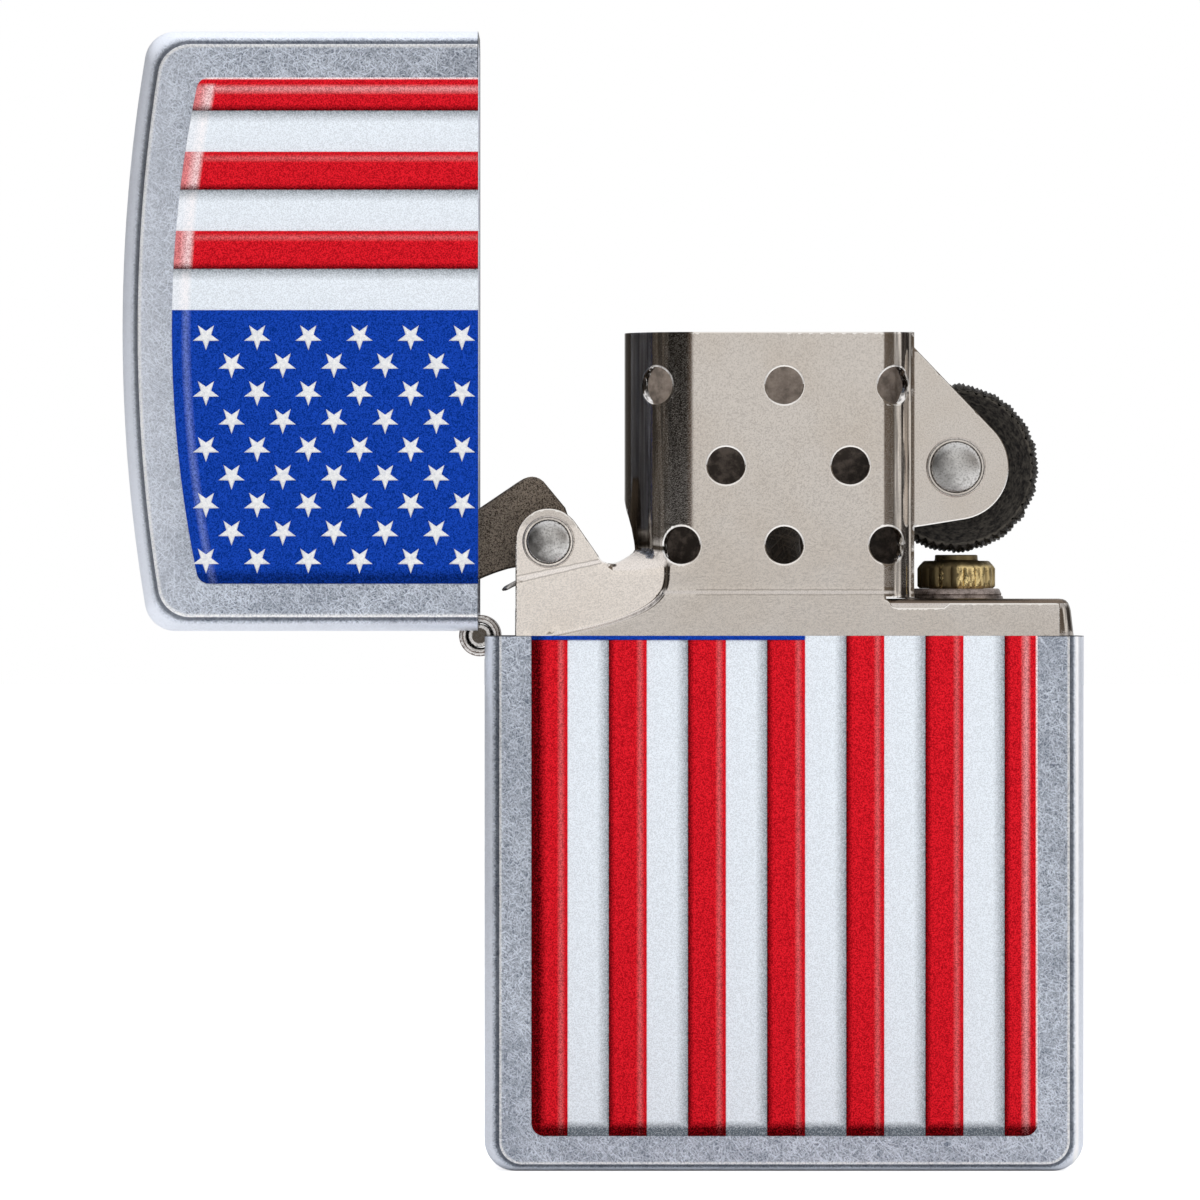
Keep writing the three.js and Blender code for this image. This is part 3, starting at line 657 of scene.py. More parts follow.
def wheel_material():
    """Dark steel with turning marks round its sides and a painted highlight line just inside the teeth."""
    look = Look("wheel_steel")
    x, y, z = look.place.split()
    across, up = x - WHEEL.x, z - WHEEL.z
    turn = up.math("ARCTAN2", across) * WHEEL_R
    reach = (up * up + across * across).math("SQRT")
    polar = node(x.tree, "CombineXYZ", {0: turn, 1: y, 2: reach})
    marks = grain(polar, (0.4, 0.16, 0.13), 3.0, 0.65)
    # painted highlight: a bright line on the bevel just inside the teeth
    line = abs(reach - (WHEEL_R - 0.62)).remap(0.03, 0.12, 0.5, 0.0)
    tone = mix(marks.remap(0.38, 0.66, 0.0, 0.6) + line, (0.006, 0.005, 0.005), (0.10, 0.09, 0.075))
    return look.finish(tone, 0.5, 0.7, marks, 0.025)


def fabric_material(name, colour, dark, size):
    """Cotton or felt: a fibrous tangle."""
    look = Look(name)
    fibres = scratches(look.place, ((20, 1.5), (75, 1.5), (130, 1.5)), size)
    mixed = fibres * 0.6 + grain(look.place, 1.2, 3.0) * 0.5
    tone = mix(mixed.remap(0.1, 0.8), dark, colour)
    return look.finish(tone, 0.95, 0.0, mixed, 0.08, **{"Sheen Weight": 0.4})


chrome = chrome_material()
nickel = nickel_material("insert_nickel", (0.70, 0.65, 0.60), 0.08)
# darker nickel for the sheet's inner faces, the deck and the tank's top
dark_nickel = nickel_material("darkened_nickel", (0.22, 0.17, 0.13), 0.34, 0.3)
cam_rivet_steel = rivet_material("cam_rivet_steel", CAM, 1.42, 0.9)
wheel_rivet_steel = rivet_material("wheel_rivet_steel", WHEEL, 1.66, 0.6)
hinge_nickel = hinge_material()
cam_steel = metal_material("cam_steel", (0.36, 0.30, 0.24), (0.02, 0.015, 0.012), 0.42, 0.09, 0.02, 1.0, 0.07)
wheel_steel = wheel_material()
washer_steel = metal_material("washer_steel", (0.50, 0.42, 0.38), (0.14, 0.11, 0.095), 0.36, 0.3, 0.01)
spring_steel = metal_material("spring_steel", (0.62, 0.60, 0.58), (0.40, 0.38, 0.36), 0.25, 0.6, 0.004)
brass = metal_material("brass", (0.83, 0.60, 0.22), (0.36, 0.23, 0.07), 0.28, 0.7, 0.008)
brass_painted_shade = brass_material()
flint_alloy = metal_material("flint_alloy", (0.26, 0.24, 0.22), (0.10, 0.09, 0.08), 0.6, 0.2, 0.03, 0.6)
red_ink = ink_material("print_red", (0.56, 0.006, 0.014), "stripe")
white_ink = ink_material("print_white", (0.72, 0.77, 0.82), "band")
blue_ink = ink_material("print_blue", (0.003, 0.040, 0.33), "field")
star_ink = metal_material("print_star", (0.86, 0.86, 0.84), (0.60, 0.62, 0.66), 0.5, 0.2, 0.006, 0.0)
cotton = fabric_material("cotton", (0.86, 0.82, 0.74), (0.45, 0.40, 0.33), 0.1)
charred = fabric_material("charred_cotton", (0.16, 0.13, 0.10), (0.03, 0.025, 0.02), 0.1)
felt = fabric_material("felt", (0.66, 0.62, 0.55), (0.36, 0.33, 0.29), 0.16)


# ---- case and lid ----
def shell(path, plateau, bevel):
    """A drawn half-box whose flat faces stand a shallow step above the rolled edge.

    path and plateau are open runs of (x, z, nx, nz) from rim to rim: round the front outline, and round
    the flat face inside it. bevel widens the soft edge of the flat face. The skin's profile is
    (share of the way from path to plateau, extra inset, depth behind the flat face).
    """
    depth_roll = 1.6
    crease = math.radians(16)
    step = 0.2
    outer = [(1, 0.06 * bevel, 0), (1, 0.02 * bevel, 0.004), (1, -0.03, 0.013)]
    outer += [(1, -0.07, 0.035), (1, -0.1, 0.11), (1, -0.14, 0.155)]
    for k in range(9):
        t = crease + (math.pi / 2 - crease) * k / 8
        share = (1 - math.sin(t)) / (1 - math.sin(crease))
        deep = STEP_DEEP + (depth_roll - STEP_DEEP) * (1 - math.cos(t) / math.cos(crease))
        outer.append((share, -step * share, deep))
    inner = []
    for t in np.linspace(0, math.pi / 2, len(outer)):
        inner.append((0, 0.75 * (1 - math.sin(t)), 1.2 * (1 - math.cos(t))))

    def skin(profile, wall):
        rows = []
        for (x, z, nx, nz), (flat_x, flat_z, _, _) in zip(path, plateau):
            half = []
            for share, offset, deep in profile:
                shift = wall + offset
                mid_x = x + share * (flat_x - x)
                mid_z = z + share * (flat_z - z)
                half.append((mid_x - nx * shift, -HALF_D + wall + deep, mid_z - nz * shift))
            rows.append(half + [(px, -py, pz) for px, py, pz in reversed(half)])
        return rows

    skins = [skin(outer, 0.0), skin(inner, WALL)]
    across = len(skins[0][0])
    along = len(path)
    points = [p for rows in skins for row in rows for p in row]

    def at(layer, i, j):
        return (layer * along + i) * across + j

    faces = []
    for layer in (0, 1):
        for i in range(along - 1):
            for j in range(across - 1):
                corners = ((i, j), (i + 1, j), (i + 1, j + 1), (i, j + 1))
                faces.append(tuple(at(layer, *corner) for corner in corners))
        for j in (0, across - 1):
            faces.append(tuple(at(layer, i, j) for i in range(along)))
    for i in (0, along - 1):
        for j in range(across - 1):
            faces.append((at(0, i, j), at(0, i, j + 1), at(1, i, j + 1), at(1, i, j)))
    for j in (0, across - 1):
        faces.append((at(0, 0, j), at(0, along - 1, j), at(1, along - 1, j), at(1, 0, j)))
    return points, faces


def arc_path(cx, cz, radius, start, end, steps):
    points = arc(cx, cz, radius, start, end, steps)
    return [(x, z, (x - cx) / radius, (z - cz) / radius) for x, z in points]


def case_path(side=0.0, end=0.0, r=CORNER_R):
    """The case's outline, or one inset by side and end with corners of radius r."""
    half = HALF_W - side
    low = case_low.z + end
    path = [(-half, CASE_TOP, -1, 0)]
    path += arc_path(-half + r, low + r, r, 180, 270, 12)
    path += arc_path(half - r, low + r, r, 270, 360, 12)
    return path + [(half, CASE_TOP, 1, 0)]


def dome(half_width, apex, dome_r, corner_r):
    """Arc data of a shallow domed top: shoulder centre and the tilt where shoulder and dome meet."""
    dome_z = apex - dome_r
    corner_x = half_width - corner_r
    corner_z = dome_z + math.sqrt((dome_r - corner_r) ** 2 - corner_x**2)
    tilt = math.degrees(math.atan2(corner_x, corner_z - dome_z))
    return dome_z, corner_x, corner_z, tilt


def lid_path(side=0.0, end=0.0, r=CORNER_R):
    """The closed lid's outline, or one inset by side and end with corners of radius r."""
    half = HALF_W - side
    dome_z, corner_x, corner_z, tilt = dome(half, LID_TOP - end, DOME_R - end, r)
    path = [(-half, LID_RIM, -1, 0)]
    path += arc_path(-corner_x, corner_z, r, 180, 90 + tilt, 12)
    path += arc_path(0, dome_z, DOME_R - end, 90 + tilt, 90 - tilt, 24)[1:-1]
    path += arc_path(corner_x, corner_z, r, 90 - tilt, 0, 12)
    return path + [(half, LID_RIM, 1, 0)]


def make_shells():
    hinge_room = turned([(1.5, -5.2), (1.5, 5.2)], "y", (HINGE.x, 0, HINGE.z), 40)
    case_part = shell(case_path(), case_path(1.03, 0.55, 1.4), 2.5)
    lid_part = moved(shell(lid_path(), lid_path(0.95, 1.1, 2.0), 4.0), lid_open)
    shells = []
    for body, part in (("case", case_part), ("lid", lid_part)):
        shells.append(piece(body + "_body", body, part, chrome, body + "_shell"))
    for obj in shells:
        cut(obj, hinge_room)
        round_rims(obj, 0.05, 60)


# ---- raised print ----
def case_print_outline():
    half, bottom, r = PRINT["half"], PRINT["bottom"], PRINT["corner"]
    outline = arc(-half + r, bottom + r, r, 180, 270, 6) + arc(half - r, bottom + r, r, 270, 360, 6)
    return outline + [(half, CASE_TOP), (-half, CASE_TOP)]


def lid_print_outline():
    half, r = PRINT["half"], PRINT["corner"]
    apex = LID_TOP - PRINT["below_top"]
    dome_z, corner_x, corner_z, tilt = dome(half, apex, PRINT["dome_r"], r)
    outline = [(-half, LID_RIM), (half, LID_RIM)]
    outline += arc(corner_x, corner_z, r, 0, 90 - tilt, 6)
    outline += arc(0, dome_z, PRINT["dome_r"], 90 - tilt, 90 + tilt, 20)[1:-1]
    return outline + arc(-corner_x, corner_z, r, 90 + tilt, 180, 6)


def raised(outline, levels):
    """A patch standing on the front face; levels are (inset, height) rings from the face up."""
    rings = [[(x, 0.02 - HALF_D, z) for x, z in outline]]
    for distance, height in levels:
        ring = inset(outline, distance) if distance else outline
        rings.append([(x, -HALF_D - height, z) for x, z in ring])
    return loft(rings)


def tidy_outline(outline):
    """The outline without points closer than a hundredth of a millimetre."""
    kept = []
    for p in outline:
        if not kept or math.dist(p, kept[-1]) > 0.01:
            kept.append(p)
    if math.dist(kept[0], kept[-1]) < 0.01:
        kept.pop()
    return kept


def stripe_spans():
    """(left, right) of every red stripe, lid shut or case."""
    spans = []
    for k in range(-3, 4):
        left = STRIPE["left"] + k * STRIPE["pitch"]
        spans.append((max(left, -PRINT["half"]), min(left + STRIPE["width"], PRINT["half"])))
    return spans


def band_spans():
    reds = stripe_spans()
    return [(a[1], b[0]) for a, b in zip(reds, reds[1:])]


def window(outline, left, right, low=-1e3, high=1e3):
    return tidy_outline(clipped(clipped(outline, 0, left, right), 1, low, high))


RED_RELIEF = [(0.0, 0.1), (0.05, 0.15), (0.16, 0.19), (0.3, 0.2)]
BAND_RELIEF = [(0.0, 0.06), (0.1, 0.08)]
FIELD_RELIEF = [(0.0, 0.09), (0.06, 0.125), (0.18, 0.14)]


def print_piece(name, body, part, material, node_name):
    """A print piece that remembers where the artwork lies, lid shut."""
    points, faces = part
    opened = [lid_open(*p) for p in points] if body == "lid" else points
    obj = piece(name, body, (opened, faces), material, node_name, weld=False)
    art = obj.data.attributes.new("art", "FLOAT_VECTOR", "POINT")
    art.data.foreach_set("vector", [c for p in points for c in p])
    repair(obj.data)


def star(x, z, radius):
    """A raised five-pointed star whose odd point faces -X."""
    sizes = [(1.0, 0.14), (0.93, 0.19), (0.74, 0.235), (0.5, 0.25)]
    rings = [[]]
    for share, height in sizes:
        ring = []
        for i in range(10):
            r = share * radius * (1 if i % 2 == 0 else 0.4)
            if i % 2 and share < 1:
                r = radius * 0.4 * (share * 0.9 + 0.06)
            angle = math.pi + math.pi * i / 5
            ring.append((x + r * math.cos(angle), -HALF_D - height, z + r * math.sin(angle)))
        rings.append(ring)
    rings[0] = [(px, -HALF_D - 0.1, pz) for px, _, pz in rings[1]]
    return loft(rings)


STARS = {"x": -7.45, "z": 43.22, "column_pitch": 1.77, "row_pitch": 3.246, "radius": 0.88}


def lid_stars():
    """Nine columns of six and five stars, lid shut."""
    stars = []
    for column in range(9):
        x = STARS["x"] + STARS["column_pitch"] * (column - 4)
        count = 6 if column % 2 == 0 else 5
        for row in range(count):
            z = STARS["z"] + STARS["row_pitch"] * (row - (count - 1) / 2)
            stars.append(star(x, z, STARS["radius"]))
    return joined(*stars)


def make_prints():
    case_art, lid_art = case_print_outline(), lid_print_outline()
    strip_z = CASE_TOP - 0.26  # the field's last sliver on the case

    def bars(outline, spans, relief, on_case):
        """Stripes or bands of one print: under the field the case's are cut short and the lid has none."""
        parts = []
        for left, right in spans:
            under_field = right <= FIELD_RIGHT + 0.01
            if on_case:
                top = strip_z if under_field else CASE_TOP
                parts.append(raised(window(outline, left, right, high=top), relief))
            elif not under_field:
                parts.append(raised(window(outline, left, right), relief))
        return joined(*parts)

    for body, outline in (("case", case_art), ("lid", lid_art)):
        on_case = body == "case"
        node_name = body + "_flag_print"
        reds = bars(outline, stripe_spans(), RED_RELIEF, on_case)
        whites = bars(outline, band_spans(), BAND_RELIEF, on_case)
        if on_case:
            sliver = window(outline, -PRINT["half"], FIELD_RIGHT, low=strip_z)
            field = raised(sliver, [(0.0, 0.15), (0.04, 0.19)])
        else:
            field = raised(window(outline, -PRINT["half"], FIELD_RIGHT), FIELD_RELIEF)
        print_piece(body + "_print_stripes", body, reds, red_ink, node_name)
        print_piece(body + "_print_bands", body, whites, white_ink, node_name)
        print_piece(body + "_print_field", body, field, blue_ink, node_name)
    print_piece("lid_print_stars", "lid", lid_stars(), star_ink, "lid_flag_print")


# ---- hinge: two leaves with rolled knuckles ----
KNUCKLE = {"outer": 1.31, "inner": 0.8, "count": 5, "pitch": 2.0, "gap": 0.1}


def knuckle_outline(direction, tail):
    """The section of one knuckle: a curl of sheet and a tail along the wall, up (1) or down (-1)."""
    cx, cz = HINGE.x, HINGE.z
    tail_in = cx + KNUCKLE["outer"] - 0.4
    end = cz + direction * tail
    outer = arc(cx, cz, KNUCKLE["outer"], 0, -direction * 318, 40)
    inner = arc(cx, cz, KNUCKLE["inner"], -direction * 318, -direction * 20, 36)
    return [(cx + KNUCKLE["outer"], end)] + outer + inner + [(tail_in, cz + direction * 0.5), (tail_in, end)]


def hinge_leaf(direction, first):
    """One leaf of the hinge as for a shut lid."""
    parts = []
    for i in range(KNUCKLE["count"]):
        front = -KNUCKLE["count"] * KNUCKLE["pitch"] / 2 + i * KNUCKLE["pitch"] + KNUCKLE["gap"] / 2
        back = front + KNUCKLE["pitch"] - KNUCKLE["gap"]
        if i % 2 == first:
            outline = knuckle_outline(direction, 3.2)
            if direction < 0:
                outline = outline[::-1]
            parts.append(prism(outline[::-1], front, back, 0.07))
    right = HINGE.x + KNUCKLE["outer"]
    low, high = sorted((HINGE.z + direction * 2.6, HINGE.z + direction * 8.4))
    plate = [(right - 0.4, low), (right, low), (right, high), (right - 0.4, high)]
    parts.append(prism(plate, -5, 5, 0.04))
    return joined(*parts)


def make_hinge():
    piece("case_leaf", "case", hinge_leaf(-1, 0), hinge_nickel, "case_hinge_leaf")
    lid_leaf = moved(hinge_leaf(1, 1), lid_open)
    piece("lid_leaf", "lid", lid_leaf, hinge_nickel, "lid_hinge_leaf")


# ---- insert sheet: a flat blank, cut out and folded ----
BLANK = {
    "flat_left": -5.36, "flat_right": 6.19, "tank_depth": 5.66, "chimney_depth": 5.56,
    "ear_depth": 5.25, "shelf_depth": 5.4, "left_r": 4.78, "top": 53.3, "bottom": 33.0,
    "right_r": 1.85, "return_r": 0.5, "right_turn": math.radians(63.5), "strip_top": 36.06,
    "strip_low": 35.77,
}
RIGHT_END = BLANK["flat_right"] + (BLANK["right_r"] + BLANK["return_r"]) * BLANK["right_turn"]
EAR_SHIFT = RIGHT_END - BLANK["flat_right"]
EAR_SHIFT -= (BLANK["right_r"] + BLANK["return_r"]) * math.sin(BLANK["right_turn"])
LEFT_END = BLANK["flat_left"] - BLANK["left_r"] * math.pi / 2 - (BLANK["chimney_depth"] - BLANK["left_r"])
HOLE_R = 1.2
FRONT_HOLES = [(-8.34, 49.9), (0, 49.9), (7.14, 49.9), (-3.7, 44.8), (4.2, 44.8)]
FRONT_HOLES += [(-6.55, 39.75), (0, 39.75), (6.6, 39.75)]
BACK_HOLES = [(-3.7, 49.9), (4.2, 49.9), (-7.56, 44.8), (0, 44.8), (6.84, 44.8), (-3.2, 39.75), (3.8, 39.75)]
NOTCH = {"x": -11.05, "z": 39.45, "r": 0.85}


# The curved fold between the cam ear's side of the blank and the tank front, from its top down.
CREASE = [(-7.35, 41.0 - 0.2 * k) for k in range(13)]
CREASE += [(-7.35 - 6.25 * (k / 40) ** 3.3, 38.4 - 4.3 * k / 40) for k in range(53)]
CREASE = np.array(CREASE)
CREASE_RUN = np.gradient(CREASE, axis=0)
CREASE_RUN /= np.linalg.norm(CREASE_RUN, axis=1)[:, None]
CREASE_OUT, CREASE_IN = 0.24, 0.06  # reach of the fold to the ear's side and to the tank's side


CREASE_RAILS = (-0.34, -0.24, -0.16, -0.09, -0.02, 0.06, 0.16, 0.3)  # rows of mesh points along it


def past_crease(a, z):
    """Distance from the curved fold, above 0 on the tank's side."""
    away = np.array((a, z)) - CREASE
    nearest = int(np.argmin(np.hypot(away[:, 0], away[:, 1])))
    run, off = CREASE_RUN[nearest], away[nearest]
    return float(off[1] * run[0] - off[0] * run[1])


def beside_notch(a, z):
    """Whether a point lies on the cam ear's side of the notch."""
    return a < NOTCH["x"] and z < 39.9 + 1.256 * (NOTCH["x"] - a)


def tank_side(a, z):
    """1 where the blank lies in the tank's plane, 0 on the cam ear's set-back side."""
    side = smoothstep(-CREASE_OUT, CREASE_IN, past_crease(a, z))
    if a > NOTCH["x"]:
        return max(side, smoothstep(38.3, 40.0, z))
    return side if beside_notch(a, z) else 1.0


JOGGLE_END = -11.7
JOGGLE_RAILS = (-0.25, 0.0, 0.25, 0.5, 0.75, 1.0, 1.25)  # rows of mesh points along it


def joggle(a, share):
    """Height of the cam ear's joggle: its foot at share 0, its head at share 1."""
    foot = 37.35 + 0.237 * (a + 16.96)
    head = 37.79 + 0.205 * (a + 16.96)
    return foot + share * (head - foot)


def flat_depth(a, z):
    """How far in front of the middle plane the unbent part of the blank stands."""
    tank = smoothstep(36.92, 36.6, z) if z < 36.92 else 0.0
    plain = BLANK["chimney_depth"] + (BLANK["tank_depth"] - BLANK["chimney_depth"]) * tank
    ear = smoothstep(joggle(a, 0), joggle(a, 1), z)
    set_back = BLANK["shelf_depth"] + (BLANK["ear_depth"] - BLANK["shelf_depth"]) * ear
    side = tank_side(a, z)
    return set_back + (plain - set_back) * side


def fold(a, z):
    """Where a point of the blank's front half goes: (x, y, z)."""
    depth = flat_depth(a, z)
    left, right = BLANK["flat_left"], BLANK["flat_right"]
    if a < left and not beside_notch(a, z):
        bend = smoothstep(38.2, 39.6, z) / BLANK["left_r"]
        if bend < 1e-4:
            return a, -depth, z
        run = left - a
        turn = min(bend * run, math.pi / 2)
        rest = run - turn / bend
        drop = (1 - math.cos(turn)) / bend + rest * math.sin(turn)
        return left - math.sin(turn) / bend - rest * math.cos(turn), -(depth - drop), z
    if a > right and z > 36.3:
        r, back, full = BLANK["right_r"], BLANK["return_r"], BLANK["right_turn"]
        turn = min((a - right) / r, full)
        rest = a - right - r * turn
        back_turn = min(rest / back, full)
        flat = rest - back * back_turn
        x = right + r * math.sin(turn) + back * (math.sin(full) - math.sin(full - back_turn))
        drop = r * (1 - math.cos(turn)) + back * (math.cos(full - back_turn) - math.cos(full))
        return x + flat, -(depth - drop), z
    return a, -depth, z


def blank_outline():
    """The blank's front half as (a, z), anticlockwise from its bottom left."""
    top, bottom, strip = BLANK["top"], BLANK["bottom"], BLANK["strip_top"]
    ear_left = CAM.x - 2.1
    ear = (WHEEL.x + EAR_SHIFT, WHEEL.z)
    nose = 3.35

    def touch(px, pz, cx, cz, r, side):
        dx, dz = px - cx, pz - cz
        return math.degrees(math.atan2(dz, dx) + side * math.acos(r / math.hypot(dx, dz)))

    upper = touch(RIGHT_END, 52.34, *ear, nose, -1)
    lower = touch(RIGHT_END, 40.9, *ear, nose, 1)
    foot = touch(-11.9, 39.1, CAM.x, CAM.z, 2.1, 1)
    low = BLANK["strip_low"]
    outline = [(ear_left, bottom), (17.5, bottom), (17.5, strip), (10.5, strip), (10.15, low)]
    outline += arc(7.15, low + 0.45, 0.45, 270, 190, 4)
    outline += [(6.45, 36.35), (6.5, 36.42), (RIGHT_END, 36.42), (RIGHT_END, 40.9)]
    outline += arc(*ear, nose, lower - 360 if lower > 0 else lower, upper, 26)
    outline += [(RIGHT_END, 52.34), (RIGHT_END, top), (LEFT_END, top), (LEFT_END, 43.3)]
    outline += [(-12.2, 42.45), (-11.25, 41.6), (-10.75, 40.9), (-10.42, 40.1), (-10.25, 39.5)]
    outline += arc(NOTCH["x"], NOTCH["z"], NOTCH["r"], -12, -157, 9)
    outline += arc(CAM.x, CAM.z, 2.1, foot, 180, 16)
    return outline


def resampled(points, step, closed=False):
    """A polyline with points added, so that none are further apart than step."""
    ends = points[1:] + points[:1] if closed else points[1:]
    result = []
    for here, after in zip(points, ends):
        count = max(1, math.ceil(math.dist(here, after) / step))
        for k in range(count):
            t = k / count
            result.append((here[0] + t * (after[0] - here[0]), here[1] + t * (after[1] - here[1])))
    return result if closed else result + [points[-1]]


def inside(x, z, outline):
    hit = False
    for i, (ax, az) in enumerate(outline):
        bx, bz = outline[i - 1]
        if (az > z) != (bz > z) and x < ax + (bx - ax) * (z - az) / (bz - az):
            hit = not hit
    return hit


def spread(*stretches):
    """Values over stretches of (start, end, step)."""
    return [v for start, end, step in stretches for v in np.arange(start, end - 1e-6, step)]


def clear_of(points, a, z, gap):
    """Whether a place is further than gap from every one of the points."""
    return np.min(np.hypot(points[:, 0] - a, points[:, 1] - z)) > gap


HOLE_POINTS = 32
GRID_COLUMNS = spread((-16.9, -5.4, 0.3), (-5.36, 6, 0.7), (6.05, 8.95, 0.15), (9, 17.4, 0.6))
GRID_ROWS = spread((33.2, 36.4, 0.3), (36.5, 37.0, 0.1), (37.1, 42.4, 0.25), (42.6, 53.2, 0.5))


def hole_loop(a, z, radius):
    return arc(a, z, radius, 0, -360, HOLE_POINTS)[:-1]


def inner_points(outline, holes, border):
    """Mesh points within the blank: beside its border and holes, along its folds, then on a grid."""

    def off_holes(a, z, gap):
        return all(math.dist((a, z), hole) > HOLE_R + gap for hole in holes)

    found = [p for p in inset(outline, 0.1) if clear_of(border, *p, 0.08) and inside(*p, outline)]
    for a, z in holes:
        found += hole_loop(a, z, HOLE_R + 0.14)
    beside = np.array(found)
    across = np.stack((-CREASE_RUN[:, 1], CREASE_RUN[:, 0]), axis=1)
    for off in CREASE_RAILS:
        last = None
        for a, z in CREASE + off * across:
            clear = clear_of(border, a, z, 0.08) and clear_of(beside, a, z, 0.06) and off_holes(a, z, 0.18)
            if clear and inside(a, z, outline) and (last is None or math.dist(last, (a, z)) > 0.12):
                last = (float(a), float(z))
                found.append(last)
    for share in JOGGLE_RAILS:
        for a in np.arange(-16.7, JOGGLE_END, 0.22):
            z = joggle(a, share)
            if clear_of(border, a, z, 0.15) and inside(a, z, outline):
                found.append((float(a), float(z)))
    beside = np.array(found)
    for a in GRID_COLUMNS:
        for z in GRID_ROWS:
            on_crease = z < 41 and a < -6 and abs(past_crease(a, z)) < 0.42
            on_joggle = a < JOGGLE_END and joggle(a, -0.5) < z < joggle(a, 1.5)
            clear = clear_of(border, a, z, 0.17) and clear_of(beside, a, z, 0.09)
            clear = clear and not on_crease and not on_joggle
            if clear and not any(math.dist((a, z), hole) < HOLE_R + 0.2 for hole in holes):
                if inside(a, z, outline):
                    found.append((float(a), float(z)))
    return found


def blank_mesh(holes):
    """The blank triangulated finely enough to bend, then folded: (points, faces, painted sheen, rim)."""
    outline = resampled(blank_outline(), 0.35, closed=True)
    loops = [outline] + [hole_loop(a, z, HOLE_R) for a, z in holes]
    edges, start = [], 0
    for loop in loops:
        edges += [(start + i, start + (i + 1) % len(loop)) for i in range(len(loop))]
        start += len(loop)
    border = [p for loop in loops for p in loop]
    inner = inner_points(outline, holes, np.array(border))
    points = [Vector(p) for p in border + inner]
    verts, _, tris, *_ = delaunay_2d_cdt(points, edges, [], 0, 1e-7)
    faces = []
    for tri in tris:
        a = sum(verts[i].x for i in tri) / 3
        z = sum(verts[i].y for i in tri) / 3
        if inside(a, z, outline) and all(math.dist((a, z), hole) > HOLE_R * 0.995 for hole in holes):
            faces.append(tuple(tri))
    # painted sheen on the cam ear's set-back side
    painted_sheen = [1 - tank_side(v.x, v.y) if v.x < -6.5 and v.y < 41 else 0.0 for v in verts]
    # rim marks the cut edges that get a painted highlight
    rim = [float(i < len(border) and v.y > BLANK["bottom"] + 0.1) for i, v in enumerate(verts)]
    return [fold(v.x, v.y) for v in verts], faces, painted_sheen, rim


def make_sheet():
    """Front and back blanks folded together, with marks for the nickel's painted sheen and painted rim
    highlights.
    """
    *front, front_sheen, front_rim = blank_mesh(FRONT_HOLES)
    points, faces, back_sheen, back_rim = blank_mesh(BACK_HOLES)
    back = ([(x, -y, z) for x, y, z in points], [face[::-1] for face in faces])
    mesh = mesh_of("insert_sheet", joined(front, back))
    for name, values in (("painted_sheen", front_sheen + back_sheen), ("rim", front_rim + back_rim)):
        mesh.attributes.new(name, "FLOAT", "POINT").data.foreach_set("value", values)
    work = bmesh.new()
    work.from_mesh(mesh)
    bmesh.ops.remove_doubles(work, verts=work.verts, dist=0.02 * MM)
    loose = [v for v in work.verts if not v.link_faces]
    bmesh.ops.delete(work, geom=loose, context="VERTS")
    work.to_mesh(mesh)
    work.free()
    mesh.materials.append(nickel)
    mesh.materials.append(dark_nickel)
    obj = add_object("insert_sheet", mesh)
    thick = obj.modifiers.new("sheet", "SOLIDIFY")
    thick.thickness = SHEET * MM
    thick.offset = -1
    thick.use_even_offset = True
    thick.material_offset = 1
    bake(obj)
    round_rims(obj, 0.06, 55, sharp=45)
    attach(obj, "insert", ["insert_shell"])


def tank_ring(shrink, z, flare=0.0):
    """A rounded rectangle round the tank at a height."""
    left, right = tank_low.x + shrink, 18.2 + flare - shrink
    half = 5.65 - shrink
    corners = [(right, -half, 0.95, 270), (right, half, 0.95, 0)]
    corners += [(left, half, 0.9, 90), (left, -half, 0.9, 180)]
    ring = []
    for x, y, corner_r, start in corners:
        r = max(0.15, corner_r - shrink)
        cx = x - r if x > 0 else x + r
        cy = y + r if y < 0 else y - r
        ring += [(px, py, z) for px, py in arc(cx, cy, r, start, start + 90, 8)]
    return ring


def make_tank():
    """The fuel tank's wall, with its rounded top lip turned in round the deck."""
    bottom = tank_low.z
    outer = [(0, bottom), (0, 33.0), (0, 34.0, 0.22), (0, 35.6, 0.04), (0.03, 35.85), (0.12, 36.07)]
    outer += [(0.28, 36.24), (0.48, 36.33), (0.75, 36.36), (1.02, 36.36)]
    inner = [(1.04, 36.3), (1.04, 35.95), (0.95, 35.88), (0.55, 35.7), (0.5, 35.0), (0.5, bottom)]
    rings = [tank_ring(*level) for level in outer + inner]
    tank = piece("insert_tank", "insert", loft(rings, loop=True), nickel, "insert_shell")
    sheet_room = [(-18, 33.1), (-4, 33.1), (-4, 38), (-18, 38)]  # here the folded sheet is the wall
    for side in (-1, 1):
        cut(tank, prism(sheet_room, *sorted((side * 5.02, side * 7))))
    char_above(tank, 36.0, dark_nickel)
    smooth(tank, 50)


